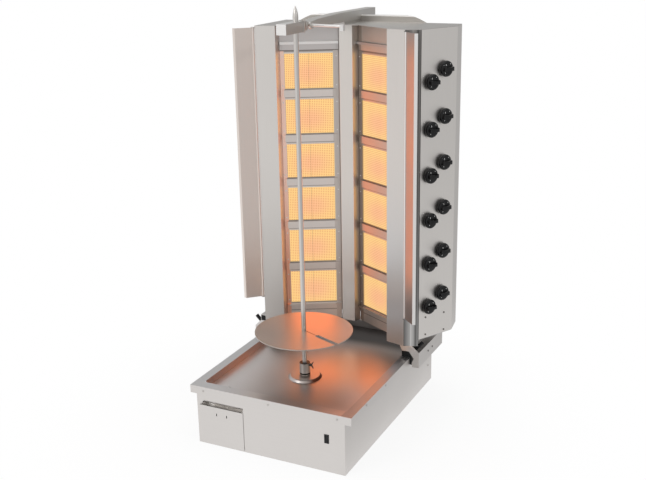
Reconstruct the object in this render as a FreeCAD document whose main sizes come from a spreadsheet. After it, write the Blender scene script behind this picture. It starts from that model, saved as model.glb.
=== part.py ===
import FreeCAD, Part
import math
import os
import Sketcher

# Gas doner kebab grill, in millimetres.
# The frame: the origin lies on the floor under the spit's axis, +Z is up, the front faces -Y.
# A flat base holds the grease tray, the drip drawer and the drive of the spit.
# Two burner walls stand on it in a V. They slide to and fro on carriages, to follow the meat.

DOC = FreeCAD.newDocument("doner_grill")

# The driving sizes: name, value, what it is.
SIZES = [
    ("metal", 1.5, "thickness of the folded sheets"),
    ("gap", 0.3, "clearance between pieces that don't touch"),
    ("fit", 0.05, "radial clearance of a shaft in its hole"),
    ("rim_half", 280, "half the width over the rim of the tray"),
    ("rim_front", 250, "spit axis to the front of the rim"),
    ("rim_back", 492, "spit axis to the back of the rim"),
    ("rim_top", 196.5, "height of the rim"),
    ("lip_screw", 47, "edge of the rim to the lip's first screw"),
    ("lip_drop", 26, "height of the rim's outer lip"),
    ("rim_side", 31, "width of the rim at the sides"),
    ("rim_end", 35, "width of the rim at the front and back"),
    ("tray_drop", 26, "depth of the tray below the rim"),
    ("tray_corner", 14, "corner radius of the tray"),
    ("case_half", 258, "half the width of the base case"),
    ("mound_rad", 55, "radius of the raised boss round the spindle"),
    ("mound_slope", 5, "width of the boss's sloping side"),
    ("mound_high", 8, "height of the boss"),
    ("drain_in", 63, "drawer's left edge to the drain"),
    ("drain_front", 175, "spit axis to the drain, to the front"),
    ("drain_rad", 8, "radius of the drain hole"),
    ("drain_drop", 22, "length of the drain spout"),
    ("drawer_edge", 10, "side of the case to the drawer's left edge"),
    ("drawer_wide", 157, "width of the drawer's front"),
    ("drawer_low", 5, "bottom edge of the drawer's front"),
    ("drawer_top", 134, "top edge of the drawer's front"),
    ("roll_rad", 10, "radius of the rolled edge over the drawer"),
    ("slot_high", 10, "finger slot above the drawer"),
    ("drawer_gap", 0.6, "gap around the drawer's front"),
    ("grip_deep", 26, "depth of the grip behind the drawer's front"),
    ("grip_low", 10, "depth of the grip below the drawer's top edge"),
    ("head_in", 61, "drawer's left edge to its first slit"),
    ("head_step", 36.4, "distance between the drawer's slits"),
    ("head_down", 25, "drawer's top edge to its slits"),
    ("slit_half", 1.5, "half the width of the drawer's slits"),
    ("bin_long", 300, "depth of the drip drawer"),
    ("bin_high", 96, "height of the drip drawer"),
    ("bin_wall", 1.2, "wall of the drip drawer"),
    ("runner_wide", 12, "width of the drawer's runners"),
    ("rocker_edge", 60.5, "side of the case to the rocker switch"),
    ("rocker_level", 110.5, "height of the rocker switch"),
    ("rocker_wide", 15, "width of the switch's bezel"),
    ("rocker_high", 29, "height of the switch's bezel"),
    ("rocker_border", 1.8, "border of the switch's bezel"),
    ("shaft_rad", 7.5, "radius of the spit"),
    ("socket_deep", 38, "depth of the socket that takes the spit's foot"),
    ("tip_clear", 1, "bearing block to the spit's point"),
    ("tip_rad", 8.5, "radius of the spit's point"),
    ("tip_long", 45, "length of the spit's point"),
    ("disc_rad", 158, "radius of the meat disc"),
    ("disc_lift", 112, "drive socket to the top of the meat disc"),
    ("disc_thick", 3, "thickness of the meat disc"),
    ("hub_rad", 14, "radius of the disc's hub"),
    ("hub_long", 32, "length of the disc's hub"),
    ("slit_wide", 2.5, "width of the disc's inner slit"),
    ("slot_wide", 15, "width of the disc's outer slot"),
    ("slot_start", 62, "spit axis to the start of the outer slot"),
    ("slot_turn", -23, "direction of the slot in the disc"),
    ("socket_rad", 17.5, "radius of the drive socket"),
    ("socket_lift", 16.5, "tray's floor to the drive socket"),
    ("socket_long", 34, "length of the drive socket"),
    ("tray_clear", 1, "gap between the spindle and the tray"),
    ("spindle_rad", 10, "radius of the drive spindle"),
    ("spindle_deep", 30.5, "tray's floor to the lower end of the spindle"),
    ("screw_rad", 3, "radius of the wing screw"),
    ("screw_down", 6, "top of the drive socket to the wing screw"),
    ("ring_high", 4.5, "height of the ring under the drive socket"),
    ("gear_half", 40, "half the width of the gearbox"),
    ("gear_back", 60, "spit axis to the back of the gearbox"),
    ("gear_high", 60, "height of the gearbox"),
    ("motor_rad", 30, "radius of the motor"),
    ("motor_long", 95, "length of the motor"),
    ("bracket_foot", 18, "length of the bracket's feet"),
    ("bracket_clear", 1, "bracket's feet to the drawer's guides"),
    ("gland_edge", 68, "side of the case to the cable gland"),
    ("gland_level", 60, "height of the cable gland"),
    ("gland_rad", 9, "radius of the cable gland's thread"),
    ("turn", 28.5, "turn of each burner wall towards the middle"),
    ("inner_at", 52, "spit axis to the first tile, sideways"),
    ("inner_back", 356, "spit axis to the first tile, backwards"),
    ("unit_lift", 43.5, "rim of the tray to the lower edge of the burner walls"),
    ("floor_lift", 22, "lower edge of the walls to the cabinets' floor"),
    ("unit_high", 1030, "height of the burner walls"),
    ("unit_back", 430, "spit axis to the back of the cabinets"),
    ("tile_wide", 161, "width of a burner's glowing face"),
    ("tile_high", 115.5, "height of a burner's glowing face"),
    ("tile_thick", 13, "thickness of the ceramic"),
    ("tile_down", 96, "top of the cabinets to the first burner"),
    ("tile_pitch", 151.5, "distance from burner to burner"),
    ("tile_sink", 3, "depth of the tiles behind their frame"),
    ("stile_in", 18, "inner edge of the burner wall"),
    ("stile_out", 14, "outer edge of the burner wall"),
    ("rail_high", 24, "height of the cross rails"),
    ("rail_rise", 2.5, "middle between two burners to the middle of the cross rail"),
    ("rail_proud", 5, "thickness of the cross rails"),
    ("box_deep", 36, "depth of a burner's mixing box"),
    ("fold_near", 188.5, "first tile to the flange's inner edge"),
    ("fold_near_out", 47, "flange's inner edge in front of the tiles"),
    ("fold_far", 254, "first tile to the flange's outer edge"),
    ("fold_far_out", 30, "flange's outer edge in front of the tiles"),
    ("side_at", 284, "first tile to the control side"),
    ("side_front", 7, "front of the control side, behind the tiles"),
    ("side_bend", 155, "bend of the control side, behind the tiles"),
    ("rear_at", 365, "spit axis to the rear corner of the control side"),
    ("post_half", 23, "half the width of the centre post"),
    ("post_front", 345, "spit axis to the centre post"),
    ("hood_at", 58, "half the width of the hood's middle edge"),
    ("hood_front", 311, "spit axis to the hood's middle edge"),
    ("crest_right", 248, "spit axis to the right end of the heat crest"),
    ("crest_left", 208, "spit axis to the left end of the heat crest"),
    ("crest_run", 68, "length of the crest's curved ends"),
    ("crest_lip", 9, "width of the crest's folded lip"),
    ("crest_high", 22, "height of the heat crest"),
    ("wing_lift", 100, "lower edge of the walls to the wings"),
    ("wing_down", 6, "top of the cabinets to the wings"),
    ("wing_turn", 43, "direction of the wings, from straight out"),
    ("wing_wide", 60, "width of the wings"),
    ("wing_lip", 10, "width of the wing's lip"),
    ("eye_rad", 4, "radius of the wing's rolled eye"),
    ("pin_rad", 2.2, "radius of the wing's pins"),
    ("pin_long", 30, "length of the wing's pins"),
    ("hinge_off", 5.5, "flange's edge to the wing's axis"),
    ("block_half", 16, "half the width of the bearing block"),
    ("block_drop", 4, "top arm's underside to the bearing block's"),
    ("block_high", 31, "height of the bearing block"),
    ("block_front", 90, "spit axis to the front of the bearing block"),
    ("block_back", 20, "spit axis to the back of the bearing block"),
    ("arm_half", 17, "half the width of the top arm"),
    ("arm_lift", 9, "top of the cabinets to the top arm"),
    ("arm_high", 30, "height of the top arm"),
    ("arm_start", 62, "spit axis to the front of the top arm"),
    ("arm_full", 265, "spit axis to where the top arm is full height"),
    ("arm_slope", 150, "length of the top arm's last slope"),
    ("arm_back", 550, "spit axis to the back of the top arm"),
    ("arm_wall", 2.5, "wall of the top arm"),
    ("neck_rad", 7, "radius of the arm's neck"),
    ("guide_front", 300, "spit axis to the front of the arm guide"),
    ("guide_back", 499, "spit axis to the back of the arm guide"),
    ("guide_slot", 12, "width of the slot under the top arm"),
    ("guide_head", 22, "width of the guide's head inside the arm"),
    ("clamp_at", 69, "spit axis to the clamp handle"),
    ("clamp_lift", 12, "underside of the top arm to the clamp handle"),
    ("clamp_turn", 9.5, "turn of the clamp handle towards the front"),
    ("clamp_rad", 4, "radius of the clamp handle"),
    ("clamp_long", 110, "length of the clamp handle"),
    ("boss_rad", 11, "radius of the clamp's boss"),
    ("boss_long", 4, "length of the clamp's boss"),
    ("rail_reach", 31, "rim of the tray to the outside of the carriage"),
    ("web_reach", 7, "rim of the tray to the web of the carriage"),
    ("shelf_in", 44, "rim of the tray to the inside of the carriage"),
    ("rail_drop", 32.5, "rim of the tray to the lower edge of the carriage"),
    ("ledge_lift", 20.5, "rim of the tray to the ledge of the carriage"),
    ("rail_front", 220.5, "spit axis to the front of the carriage"),
    ("rail_back", 451, "spit axis to the back of the carriage"),
    ("pad_long", 32, "length of a glide pad"),
    ("pad_back", 6, "back of the carriage to the rear pads"),
    ("rail_screw", 90, "front of the carriage to its first screw"),
    ("rail_step", 40, "distance between the carriage's screws"),
    ("lever_back", 241, "spit axis to the lock lever"),
    ("lever_lift", 6.5, "ledge of the carriage to the lock lever's screw"),
    ("grip_rad", 6.3, "radius of the lever's grip"),
    ("grip_out", 7, "carriage to the end of the lever's grip"),
    ("knob_near", 39, "front edge of the control side to the front row of knobs"),
    ("knob_far", 95, "front edge of the control side to the back row of knobs"),
    ("knob_step", 36, "back row of knobs to the front row, downwards"),
    ("knob_down", 125, "top of the cabinets to the first knob"),
    ("knob_pitch", 147.2, "distance from knob to knob"),
    ("skirt_rad", 25, "radius of a knob's skirt"),
    ("knob_rad", 21, "radius of a knob's grip"),
    ("skirt_thick", 12, "thickness of a knob's skirt"),
    ("knob_deep", 31, "depth of a knob"),
    ("knob_lift", 4.5, "gap between panel and knob, its push travel"),
    ("stem_rad", 4, "radius of a tap's stem"),
    ("stem_long", 51, "length of a tap's stem"),
    ("tap_half", 13, "half the width of a tap"),
    ("pipe_rad", 4, "radius of the feed pipes"),
    ("main_half", 11, "half the width of the gas manifold"),
    ("inlet_rad", 10.5, "radius of the gas inlet"),
    ("inlet_long", 22, "length of the gas inlet"),
    ("inlet_off", 1, "rear sheet to the gas inlet's thread"),
    ("inlet_step", 1.5, "gas inlet's radius less the pipe's"),
    ("inlet_lift", 60, "lower edge of the walls to the gas inlet"),
]
BURNERS = 6

sheet = DOC.addObject("Spreadsheet::Sheet", "Sizes")


class Size:
    """A number together with the sheet expression that it comes from."""

    def __init__(self, value, text=None):
        self.value = float(value)
        self.text = text or repr(float(value))

    def __add__(self, other):
        other = size_of(other)
        return Size(self.value + other.value, f"({self.text} + {other.text})")

    def __radd__(self, other):
        return size_of(other) + self

    def __sub__(self, other):
        other = size_of(other)
        return Size(self.value - other.value, f"({self.text} - {other.text})")

    def __rsub__(self, other):
        return size_of(other) - self

    def __mul__(self, other):
        other = size_of(other)
        return Size(self.value * other.value, f"({self.text} * {other.text})")

    def __rmul__(self, other):
        return size_of(other) * self

    def __truediv__(self, other):
        other = size_of(other)
        return Size(self.value / other.value, f"({self.text} / {other.text})")

    def __neg__(self):
        return Size(-self.value, f"(0 - {self.text})")


def size_of(number):
    return number if isinstance(number, Size) else Size(number)


def sine(angle):
    return Size(math.sin(math.radians(angle.value)), f"sin({angle.text})")


def cosine(angle):
    return Size(math.cos(math.radians(angle.value)), f"cos({angle.text})")


class Sheet:
    """The sizes by name, each a Size that points at its cell."""

    def __init__(self, rows):
        for row, (name, value, note) in enumerate(rows, start=1):
            sheet.set(f"A{row}", note)
            sheet.set(f"B{row}", str(value))
            sheet.setAlias(f"B{row}", name)
            setattr(self, name, Size(value, f"Sizes.{name}"))


s = Sheet(SIZES)
DOC.recompute()

# Places that follow from the driving sizes: the base first, then the spit, the burner unit and its top.
s.tray_floor = s.rim_top - s.tray_drop
s.drawer_left = s.case_half - s.drawer_edge
s.drawer_right = s.drawer_left - s.drawer_wide
s.bracket_wide = s.drawer_right - s.runner_wide * 2 / 3 - s.bracket_clear - s.bracket_foot
s.drain_left = s.drawer_left - s.drain_in
s.rocker_at = s.case_half - s.rocker_edge
s.gland_at = s.case_half - s.gland_edge
s.spindle_low = s.tray_floor - s.spindle_deep
s.socket_low = s.tray_floor + s.socket_lift
s.socket_top = s.socket_low + s.socket_long
s.ring_low = s.socket_low - s.ring_high
s.spit_foot = s.socket_top - s.socket_deep
s.screw_level = s.socket_top - s.screw_down
s.disc_top = s.socket_top + s.disc_lift
s.rail_out = s.rim_half + s.rail_reach
s.rail_web = s.rim_half + s.web_reach
s.rail_in = s.rim_half - s.shelf_in
s.rail_low = s.rim_top - s.rail_drop
s.rail_ledge = s.rim_top + s.ledge_lift
s.lever_level = s.rail_ledge + s.lever_lift
s.grip_reach = s.rail_out + s.grip_out
s.unit_low = s.rim_top + s.unit_lift
s.floor_level = s.unit_low + s.floor_lift
s.unit_top = s.unit_low + s.unit_high
s.tile_first = s.unit_top - s.tile_down
s.wing_low = s.unit_low + s.wing_lift
s.wing_top = s.unit_top - s.wing_down
s.knob_high = s.unit_top - s.knob_down
s.knob_low = s.knob_high - s.knob_step
s.inlet_level = s.unit_low + s.inlet_lift
s.arm_low = s.unit_top + s.arm_lift
s.block_low = s.arm_low - s.block_drop
s.clamp_level = s.arm_low + s.clamp_lift
s.tip_low = s.block_low + s.block_high + s.tip_clear
s.tip_top = s.tip_low + s.tip_long

LEFT = -1
RIGHT = 1
SIDES = ((LEFT, "left"), (RIGHT, "right"))
subparts = []


def bind(item, name, number):
    """Ties a property to the sheet."""
    item.setExpression(name, size_of(number).text)


def place(item, x=0, y=0, z=0, angle=0):
    """Moves an item and turns it about the vertical."""
    item.Placement.Rotation = FreeCAD.Rotation(FreeCAD.Vector(0, 0, 1), 1)
    bind(item, "Placement.Base.x", x)
    bind(item, "Placement.Base.y", y)
    bind(item, "Placement.Base.z", z)
    bind(item, "Placement.Rotation.Angle", angle)
    return item


def box(name, x, y, z):
    """A block between two limits on each axis."""
    item = DOC.addObject("Part::Box", name)
    bind(item, "Length", x[1] - size_of(x[0]))
    bind(item, "Width", y[1] - size_of(y[0]))
    bind(item, "Height", z[1] - size_of(z[0]))
    bind(item, "Placement.Base.x", x[0])
    bind(item, "Placement.Base.y", y[0])
    bind(item, "Placement.Base.z", z[0])
    return item


AXES = {
    "x": FreeCAD.Rotation(FreeCAD.Vector(0, 1, 0), 90),
    "y": FreeCAD.Rotation(FreeCAD.Vector(1, 0, 0), -90),
    "z": FreeCAD.Rotation(),
}


def rod(name, start, axis, radius, length):
    """A cylinder from a point along an axis."""
    item = DOC.addObject("Part::Cylinder", name)
    item.Placement.Rotation = AXES[axis]
    bind(item, "Radius", radius)
    bind(item, "Height", length)
    for letter, number in zip("xyz", start):
        bind(item, f"Placement.Base.{letter}", number)
    return item


def fuse(name, *items):
    item = DOC.addObject("Part::MultiFuse", name)
    item.Shapes = list(items)
    item.Refine = True
    return item


def cut(name, base, *tools):
    item = DOC.addObject("Part::Cut", name)
    item.Base = base
    item.Tool = tools[0] if len(tools) == 1 else group(name + "_tools", tools)
    item.Refine = True
    return item


def group(name, items):
    """Separate solids in one node."""
    item = DOC.addObject("Part::Compound", name)
    item.Links = list(items)
    return item


def subpart(label, item):
    """Gives a finished piece its name."""
    item.Label = label
    subparts.append(item)
    return item


def origin_plane(body, role):
    return [item for item in body.Origin.OriginFeatures if item.Role == role][0]


def sketch_on(body, role, points):
    """A closed outline of straight lines, each corner tied to the sheet."""
    sketch = body.newObject("Sketcher::SketchObject", body.Name + "_sketch")
    sketch.AttachmentSupport = (origin_plane(body, role), [""])
    sketch.MapMode = "FlatFace"
    corners = [(size_of(across), size_of(up)) for across, up in points]
    count = len(corners)
    for index in range(count):
        here = corners[index]
        there = corners[(index + 1) % count]
        first = FreeCAD.Vector(here[0].value, here[1].value, 0)
        last = FreeCAD.Vector(there[0].value, there[1].value, 0)
        sketch.addGeometry(Part.LineSegment(first, last), False)
    for index in range(count):
        following = (index + 1) % count
        sketch.addConstraint(Sketcher.Constraint("Coincident", index, 2, following, 1))
    for index, corner in enumerate(corners):
        for kind, number in zip(("DistanceX", "DistanceY"), corner):
            rule = Sketcher.Constraint(kind, -1, 1, index, 1, number.value)
            place_in_list = sketch.addConstraint(rule)
            sketch.renameConstraint(place_in_list, f"{kind}_{index}")
            sketch.setExpression(f"Constraints.{kind}_{index}", number.text)
    return sketch


def prism(name, points, low, high, role="XY_Plane"):
    """An outline made thick. On the XZ plane the depth is along +Y, on the YZ plane along +X."""
    body = DOC.addObject("PartDesign::Body", name)
    sketch = sketch_on(body, role, points)
    pad = body.newObject("PartDesign::Pad", name + "_pad")
    pad.Profile = sketch
    pad.Reversed = role == "XZ_Plane"
    bind(pad, "Length", high - size_of(low))
    letter = {"XY_Plane": "z", "XZ_Plane": "y", "YZ_Plane": "x"}[role]
    bind(body, f"Placement.Base.{letter}", low)
    return body


def turned(name, points):
    """An outline on the XZ plane, turned about the vertical axis."""
    body = DOC.addObject("PartDesign::Body", name)
    sketch = sketch_on(body, "XZ_Plane", points)
    lathe = body.newObject("PartDesign::Revolution", name + "_lathe")
    lathe.Profile = sketch
    lathe.ReferenceAxis = (sketch, ["V_Axis"])
    lathe.Angle = 360
    return body


def rounded_box(name, x, y, z, radius):
    """A block with rounded upright edges."""
    deep = z[1] - size_of(z[0])
    wide = box(name + "_wide", x, (y[0] + radius, y[1] - radius), z)
    long = box(name + "_long", (x[0] + radius, x[1] - radius), y, z)
    corners = []
    for across in (x[0] + radius, x[1] - radius):
        for along in (y[0] + radius, y[1] - radius):
            corners.append(rod(name + "_corner", (across, along, z[0]), "z", radius, deep))
    return fuse(name, wide, long, *corners)


def folded(name, points, low, high):
    """A sheet bent along an open line on the plan, with round bends."""
    half = s.metal / 2
    pieces = []
    for index in range(len(points) - 1):
        ax, ay = (size_of(number) for number in points[index])
        bx, by = (size_of(number) for number in points[index + 1])
        run_x = bx - ax
        run_y = by - ay
        long = f"sqrt({run_x.text} * {run_x.text} + {run_y.text} * {run_y.text})"
        plate = DOC.addObject("Part::Box", name + "_run")
        plate.setExpression("Length", long)
        bind(plate, "Width", s.metal)
        bind(plate, "Height", high - size_of(low))
        plate.Placement.Rotation = FreeCAD.Rotation(FreeCAD.Vector(0, 0, 1), 1)
        angle = f"atan2({run_y.text}; {run_x.text})"
        plate.setExpression("Placement.Rotation.Angle", angle)
        bind(plate, "Placement.Base.x", ax + half * run_y / Size(1, long))
        bind(plate, "Placement.Base.y", ay - half * run_x / Size(1, long))
        bind(plate, "Placement.Base.z", low)
        pieces.append(plate)
    for point in points[1:-1]:
        pieces.append(rod(name + "_bend", (*point, low), "z", half, high - size_of(low)))
    return fuse(name, *pieces) if len(pieces) > 1 else pieces[0]


def wall_point(side, along, out):
    """A point on the plan, given along a burner wall and in front of its tiles."""
    x = s.inner_at + along * cosine(s.turn) - out * sine(s.turn)
    y = s.inner_back - along * sine(s.turn) - out * cosine(s.turn)
    return (x * side, y)


def on_wall(name, items, side):
    """Puts items made in a burner wall's own frame on that wall."""
    return place(group(name, items), s.inner_at * side, s.inner_back, 0, s.turn * -side)


def wall_box(name, side, along, back, z):
    """A block in a burner wall's own frame: along the wall, behind the tiles' face, and height."""
    low, high = (along[0], along[1]) if side == RIGHT else (-size_of(along[1]), -size_of(along[0]))
    return box(name, (low, high), back, z)


# Base: a folded case, open at the top, with the drawer's opening and the switch's cut-out.
def make_base_case():
    tray_sheet = s.rim_top - s.metal
    outer = box("case_outer", (-s.case_half, s.case_half),
                (-s.rim_front + s.metal, s.rim_back - s.metal), (0, tray_sheet))
    inner = box("case_inner", (-s.case_half + s.metal, s.case_half - s.metal),
                (-s.rim_front + s.metal * 2, s.rim_back - s.metal * 2),
                (s.metal, tray_sheet + 1))
    front = (-s.rim_front, -s.rim_front + s.metal * 3)
    mouth_left = -s.drawer_left - s.drawer_gap
    mouth_right = -s.drawer_right + s.drawer_gap
    mouth_top = s.drawer_top + s.slot_high + s.roll_rad
    mouth = prism("case_mouth", [
        (mouth_left, s.drawer_low - s.drawer_gap), (mouth_right, s.drawer_low - s.drawer_gap),
        (mouth_right, mouth_top), (mouth_left + s.slot_high + s.roll_rad, mouth_top),
        (mouth_left, s.drawer_top),
    ], front[0], front[1], "XZ_Plane")
    rolled = rod("case_roll", (mouth_left + s.slot_high, -s.rim_front + s.metal + s.roll_rad, mouth_top), "x",
                 s.roll_rad, mouth_right - mouth_left - s.slot_high + 1)
    border = s.rocker_border
    switch = box("case_switch",
                 (s.rocker_at - s.rocker_wide / 2 + border, s.rocker_at + s.rocker_wide / 2 - border),
                 front,
                 (s.rocker_level - s.rocker_high / 2 + border, s.rocker_level + s.rocker_high / 2 - border))
    gland = rod("case_gland", (-s.gland_at, s.rim_back - s.metal * 4, s.gland_level), "y",
                s.gland_rad + s.fit, s.metal * 8)
    case = fuse("case_body", cut("case_pierced", outer, inner, mouth, switch, gland), rolled)
    subpart("base_case", case)


# Tray: one pressed sheet with a flat rim, a lip around it, a raised boss and a drain spout.
def make_grease_tray():
    floor = s.rim_top - s.tray_drop
    hollow = s.rim_top - s.metal
    outer = box("tray_rim", (-s.rim_half, s.rim_half), (-s.rim_front, s.rim_back),
                (s.rim_top - s.lip_drop, s.rim_top))
    under = box("tray_under", (-s.rim_half + s.metal, s.rim_half - s.metal),
                (-s.rim_front + s.metal, s.rim_back - s.metal),
                (s.rim_top - s.lip_drop - 1, hollow))
    half = s.rim_half - s.rim_side
    front = s.rim_end - s.rim_front
    back = s.rim_back - s.rim_end
    tub = rounded_box("tray_tub", (-half - s.metal, half + s.metal), (front - s.metal, back + s.metal),
                      (floor - s.metal, s.rim_top), s.tray_corner + s.metal)
    well = rounded_box("tray_well", (-half, half), (front, back), (floor, s.rim_top + 1), s.tray_corner)
    pressed = cut("tray_pressed", fuse("tray_sheet", cut("tray_cap", outer, under), tub), well)
    boss_top = s.mound_rad - s.mound_slope
    boss = turned("tray_boss", [
        (0, floor - s.metal / 2), (s.mound_rad, floor - s.metal / 2), (s.mound_rad, floor),
        (boss_top, floor + s.mound_high * 0.8), (boss_top - 2, floor + s.mound_high), (0, floor + s.mound_high),
    ])
    under_boss = turned("boss_under", [
        (0, floor - s.metal * 2), (s.mound_rad - s.metal, floor - s.metal * 2),
        (s.mound_rad - s.metal, floor - s.metal), (boss_top - s.metal, floor + s.mound_high * 0.8 - s.metal),
        (boss_top - 2 - s.metal, floor + s.mound_high - s.metal), (0, floor + s.mound_high - s.metal),
    ])
    spout_low = floor - s.metal - s.drain_drop
    spout = rod("spout_out", (-s.drain_left, -s.drain_front, spout_low), "z", s.drain_rad + s.metal,
                s.drain_drop + s.metal / 2)
    bore = rod("spout_in", (-s.drain_left, -s.drain_front, spout_low - 1), "z", s.drain_rad,
               s.drain_drop + s.metal * 3)
    hole = rod("tray_hole", (0, 0, floor), "z", s.spindle_rad + s.tray_clear, s.mound_high + s.metal)
    subpart("grease_tray", cut("tray_done", fuse("tray_joined", pressed, boss, spout), under_boss, bore, hole))


# Screws that hold the tray's lip to the case, and the two at the back of each side.
def make_base_screws():
    level = s.rim_top - s.lip_drop / 2 - 1
    head_rad = 3.2
    head_thick = 1.4
    heads = []
    for across in (-s.rim_half + s.lip_screw, size_of(0), s.rim_half - s.lip_screw):
        heads.append(rod("lip_screw", (across, -s.rim_front - head_thick, level), "y",
                         head_rad, head_thick))
    for side in (LEFT, RIGHT):
        start = s.case_half if side == RIGHT else -s.case_half - head_thick
        heads.append(rod("side_screw", (start, s.rim_back - 36, s.rim_top / 3), "x",
                         head_rad, head_thick))
        for along in (-138, 11):
            start = s.rim_half if side == RIGHT else -s.rim_half - head_thick
            heads.append(rod("edge_screw", (start, along, s.rim_top - 9), "x", head_rad, head_thick))
    subpart("base_screws", group("base_screw_set", heads))


# Drawer: a welded bin that catches the fat, behind a flat front.
def make_drawer():
    front_y = -s.rim_front + s.metal
    plate = box("drawer_plate", (-s.drawer_left, -s.drawer_right), (front_y - s.metal, front_y + s.metal),
                (s.drawer_low, s.drawer_top))
    left = -s.drawer_left + s.drawer_gap
    right = -s.drawer_right - s.drawer_gap
    low = s.drawer_top - s.grip_low
    top = s.drawer_top + s.slot_high - s.drawer_gap
    trough = prism("grip_outer", [
        (left, low), (right, low), (right, top), (left + s.slot_high - s.drawer_gap, top),
        (left, s.drawer_top),
    ], front_y + s.metal / 2, front_y + s.grip_deep, "XZ_Plane")
    inner_left = left + s.metal * 1.4
    hollow = prism("grip_inner", [
        (inner_left, low + s.metal), (right - s.metal, low + s.metal), (right - s.metal, top + s.slot_high),
        (inner_left + s.slot_high * 2 - s.drawer_gap, top + s.slot_high), (inner_left, s.drawer_top),
    ], front_y - s.metal * 2, front_y + s.grip_deep - s.metal, "XZ_Plane")
    slits = []
    for across in (s.head_in, s.head_in + s.head_step):
        middle = -s.drawer_left + across
        level = s.drawer_top - s.head_down
        slits.append(box("drawer_slit", (middle - s.slit_half, middle + s.slit_half),
                         (front_y - s.metal * 2, front_y + s.metal * 2),
                         (level - s.slit_half * 3, level + s.slit_half * 3)))
    front = fuse("drawer_front_body", plate, cut("grip_trough", trough, hollow))
    subpart("drawer_front", cut("drawer_front_done", front, *slits))
    side_gap = s.runner_wide / 3
    x = (-s.drawer_left + side_gap, -s.drawer_right - side_gap)
    y = (front_y + s.metal, front_y + s.metal + s.bin_long)
    low = s.drawer_low + s.metal
    outer = box("bin_outer", x, y, (low, low + s.bin_high))
    inner = box("bin_inner", (x[0] + s.bin_wall, x[1] - s.bin_wall), (y[0] + s.bin_wall, y[1] - s.bin_wall),
                (low + s.bin_wall, low + s.bin_high + 1))
    subpart("drawer_bin", cut("bin_body", outer, inner))
    ledge = low - s.gap
    runners = []
    ends = (front_y + s.metal * 2, s.bin_long - s.rim_front)
    case_wall = -s.case_half + s.metal
    for name, web, tip in (("left", case_wall, x[0] + s.runner_wide),
                           ("right", x[1] + s.runner_wide, x[1] - s.runner_wide)):
        first, last = (web, tip) if name == "left" else (tip, web)
        shelf = box("runner_shelf", (first, last), ends, (s.metal, ledge))
        edge = (web, x[0] - s.gap) if name == "left" else (x[1] + s.gap, web)
        rail = box("runner_rail", edge, ends, (s.metal, ledge + s.runner_wide))
        runners.append(fuse("runner_" + name, shelf, rail))
    subpart("drawer_guides", group("drawer_guide_set", runners))


# Switch: a rocker in a snap-in bezel.
def make_switch():
    face = -s.rim_front + s.metal
    half_w = s.rocker_wide / 2
    half_h = s.rocker_high / 2
    border = s.rocker_border
    plate = box("bezel_plate", (s.rocker_at - half_w, s.rocker_at + half_w), (face - s.metal, face),
                (s.rocker_level - half_h, s.rocker_level + half_h))
    neck = box("bezel_neck", (s.rocker_at - half_w + border, s.rocker_at + half_w - border),
               (face, face + 14),
               (s.rocker_level - half_h + border, s.rocker_level + half_h - border))
    hollow = box("bezel_hollow", (s.rocker_at - half_w + border * 2, s.rocker_at + half_w - border * 2),
                 (face - s.metal * 2, face + 13),
                 (s.rocker_level - half_h + border * 2, s.rocker_level + half_h - border * 2))
    subpart("rocker_bezel", cut("bezel", fuse("bezel_solid", plate, neck), hollow))
    reach = half_h - border * 2 - s.gap * 4
    cap = prism("rocker_cap", [
        (-reach, 0), (-reach, -3.4), (0, -1.6), (reach, -0.6), (reach, 0), (3, 6), (-3, 6),
    ], -half_w + border * 2 + s.gap, half_w - border * 2 - s.gap, "XY_Plane")
    cap.Placement.Rotation = FreeCAD.Rotation(FreeCAD.Vector(0, 1, 0), -90)
    bind(cap, "Placement.Base.x", s.rocker_at + half_w - border * 2 - s.gap)
    bind(cap, "Placement.Base.y", face - s.metal + 2.2)
    bind(cap, "Placement.Base.z", s.rocker_level)
    subpart("rocker", cap)


# Drive: a gear motor on a bracket, with a cable gland in the case's back.
def make_drive():
    top = s.spindle_low + 6
    low = top - s.gear_high
    gearbox = rounded_box("gearbox", (-s.gear_half, s.gear_half), (-s.gear_half, s.gear_back),
                          (low, top), s.metal * 4)
    seat = rod("gear_seat", (0, 0, s.spindle_low), "z", s.spindle_rad + s.fit, s.gear_high)
    middle = low + s.gear_high / 2
    motor = rod("motor", (0, s.gear_back, middle), "y", s.motor_rad - 2, s.motor_long)
    cover = rod("motor_cover", (0, s.gear_back + s.motor_long * 0.2, middle), "y", s.motor_rad,
                s.motor_long * 0.6)
    drive = cut("drive_body", fuse("drive_joined", gearbox, motor, cover), seat)
    wide = s.bracket_wide
    y = (-s.gear_half + 4, s.gear_back - 4)
    legs = []
    for side in (LEFT, RIGHT):
        near, far = (wide - s.metal * 2, wide) if side == RIGHT else (-wide, -wide + s.metal * 2)
        legs.append(box("bracket_leg", (near, far), y, (s.metal, low)))
        foot = (wide - s.metal, wide + s.bracket_foot)
        foot = foot if side == RIGHT else (-wide - s.bracket_foot, -wide + s.metal)
        legs.append(box("bracket_foot", foot, y, (s.metal, s.metal * 3)))
    deck = box("bracket_deck", (-wide, wide), y, (low - s.metal * 2, low))
    subpart("gear_motor", group("gear_motor_set", [drive, fuse("bracket", deck, *legs)]))
    back = s.rim_back - s.metal
    thread = rod("gland_thread", (-s.gland_at, back - 12, s.gland_level), "y", s.gland_rad, 12)
    nut = rod("gland_nut", (-s.gland_at, back - s.metal - 6, s.gland_level), "y", s.gland_rad + 4, 6)
    cap = rod("gland_cap", (-s.gland_at, back, s.gland_level), "y", s.gland_rad + 4, 14)
    bore = rod("gland_bore", (-s.gland_at, back - 20, s.gland_level), "y", s.gland_rad / 2, 60)
    subpart("cable_gland", cut("gland", fuse("gland_solid", thread, nut, cap), bore))


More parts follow.
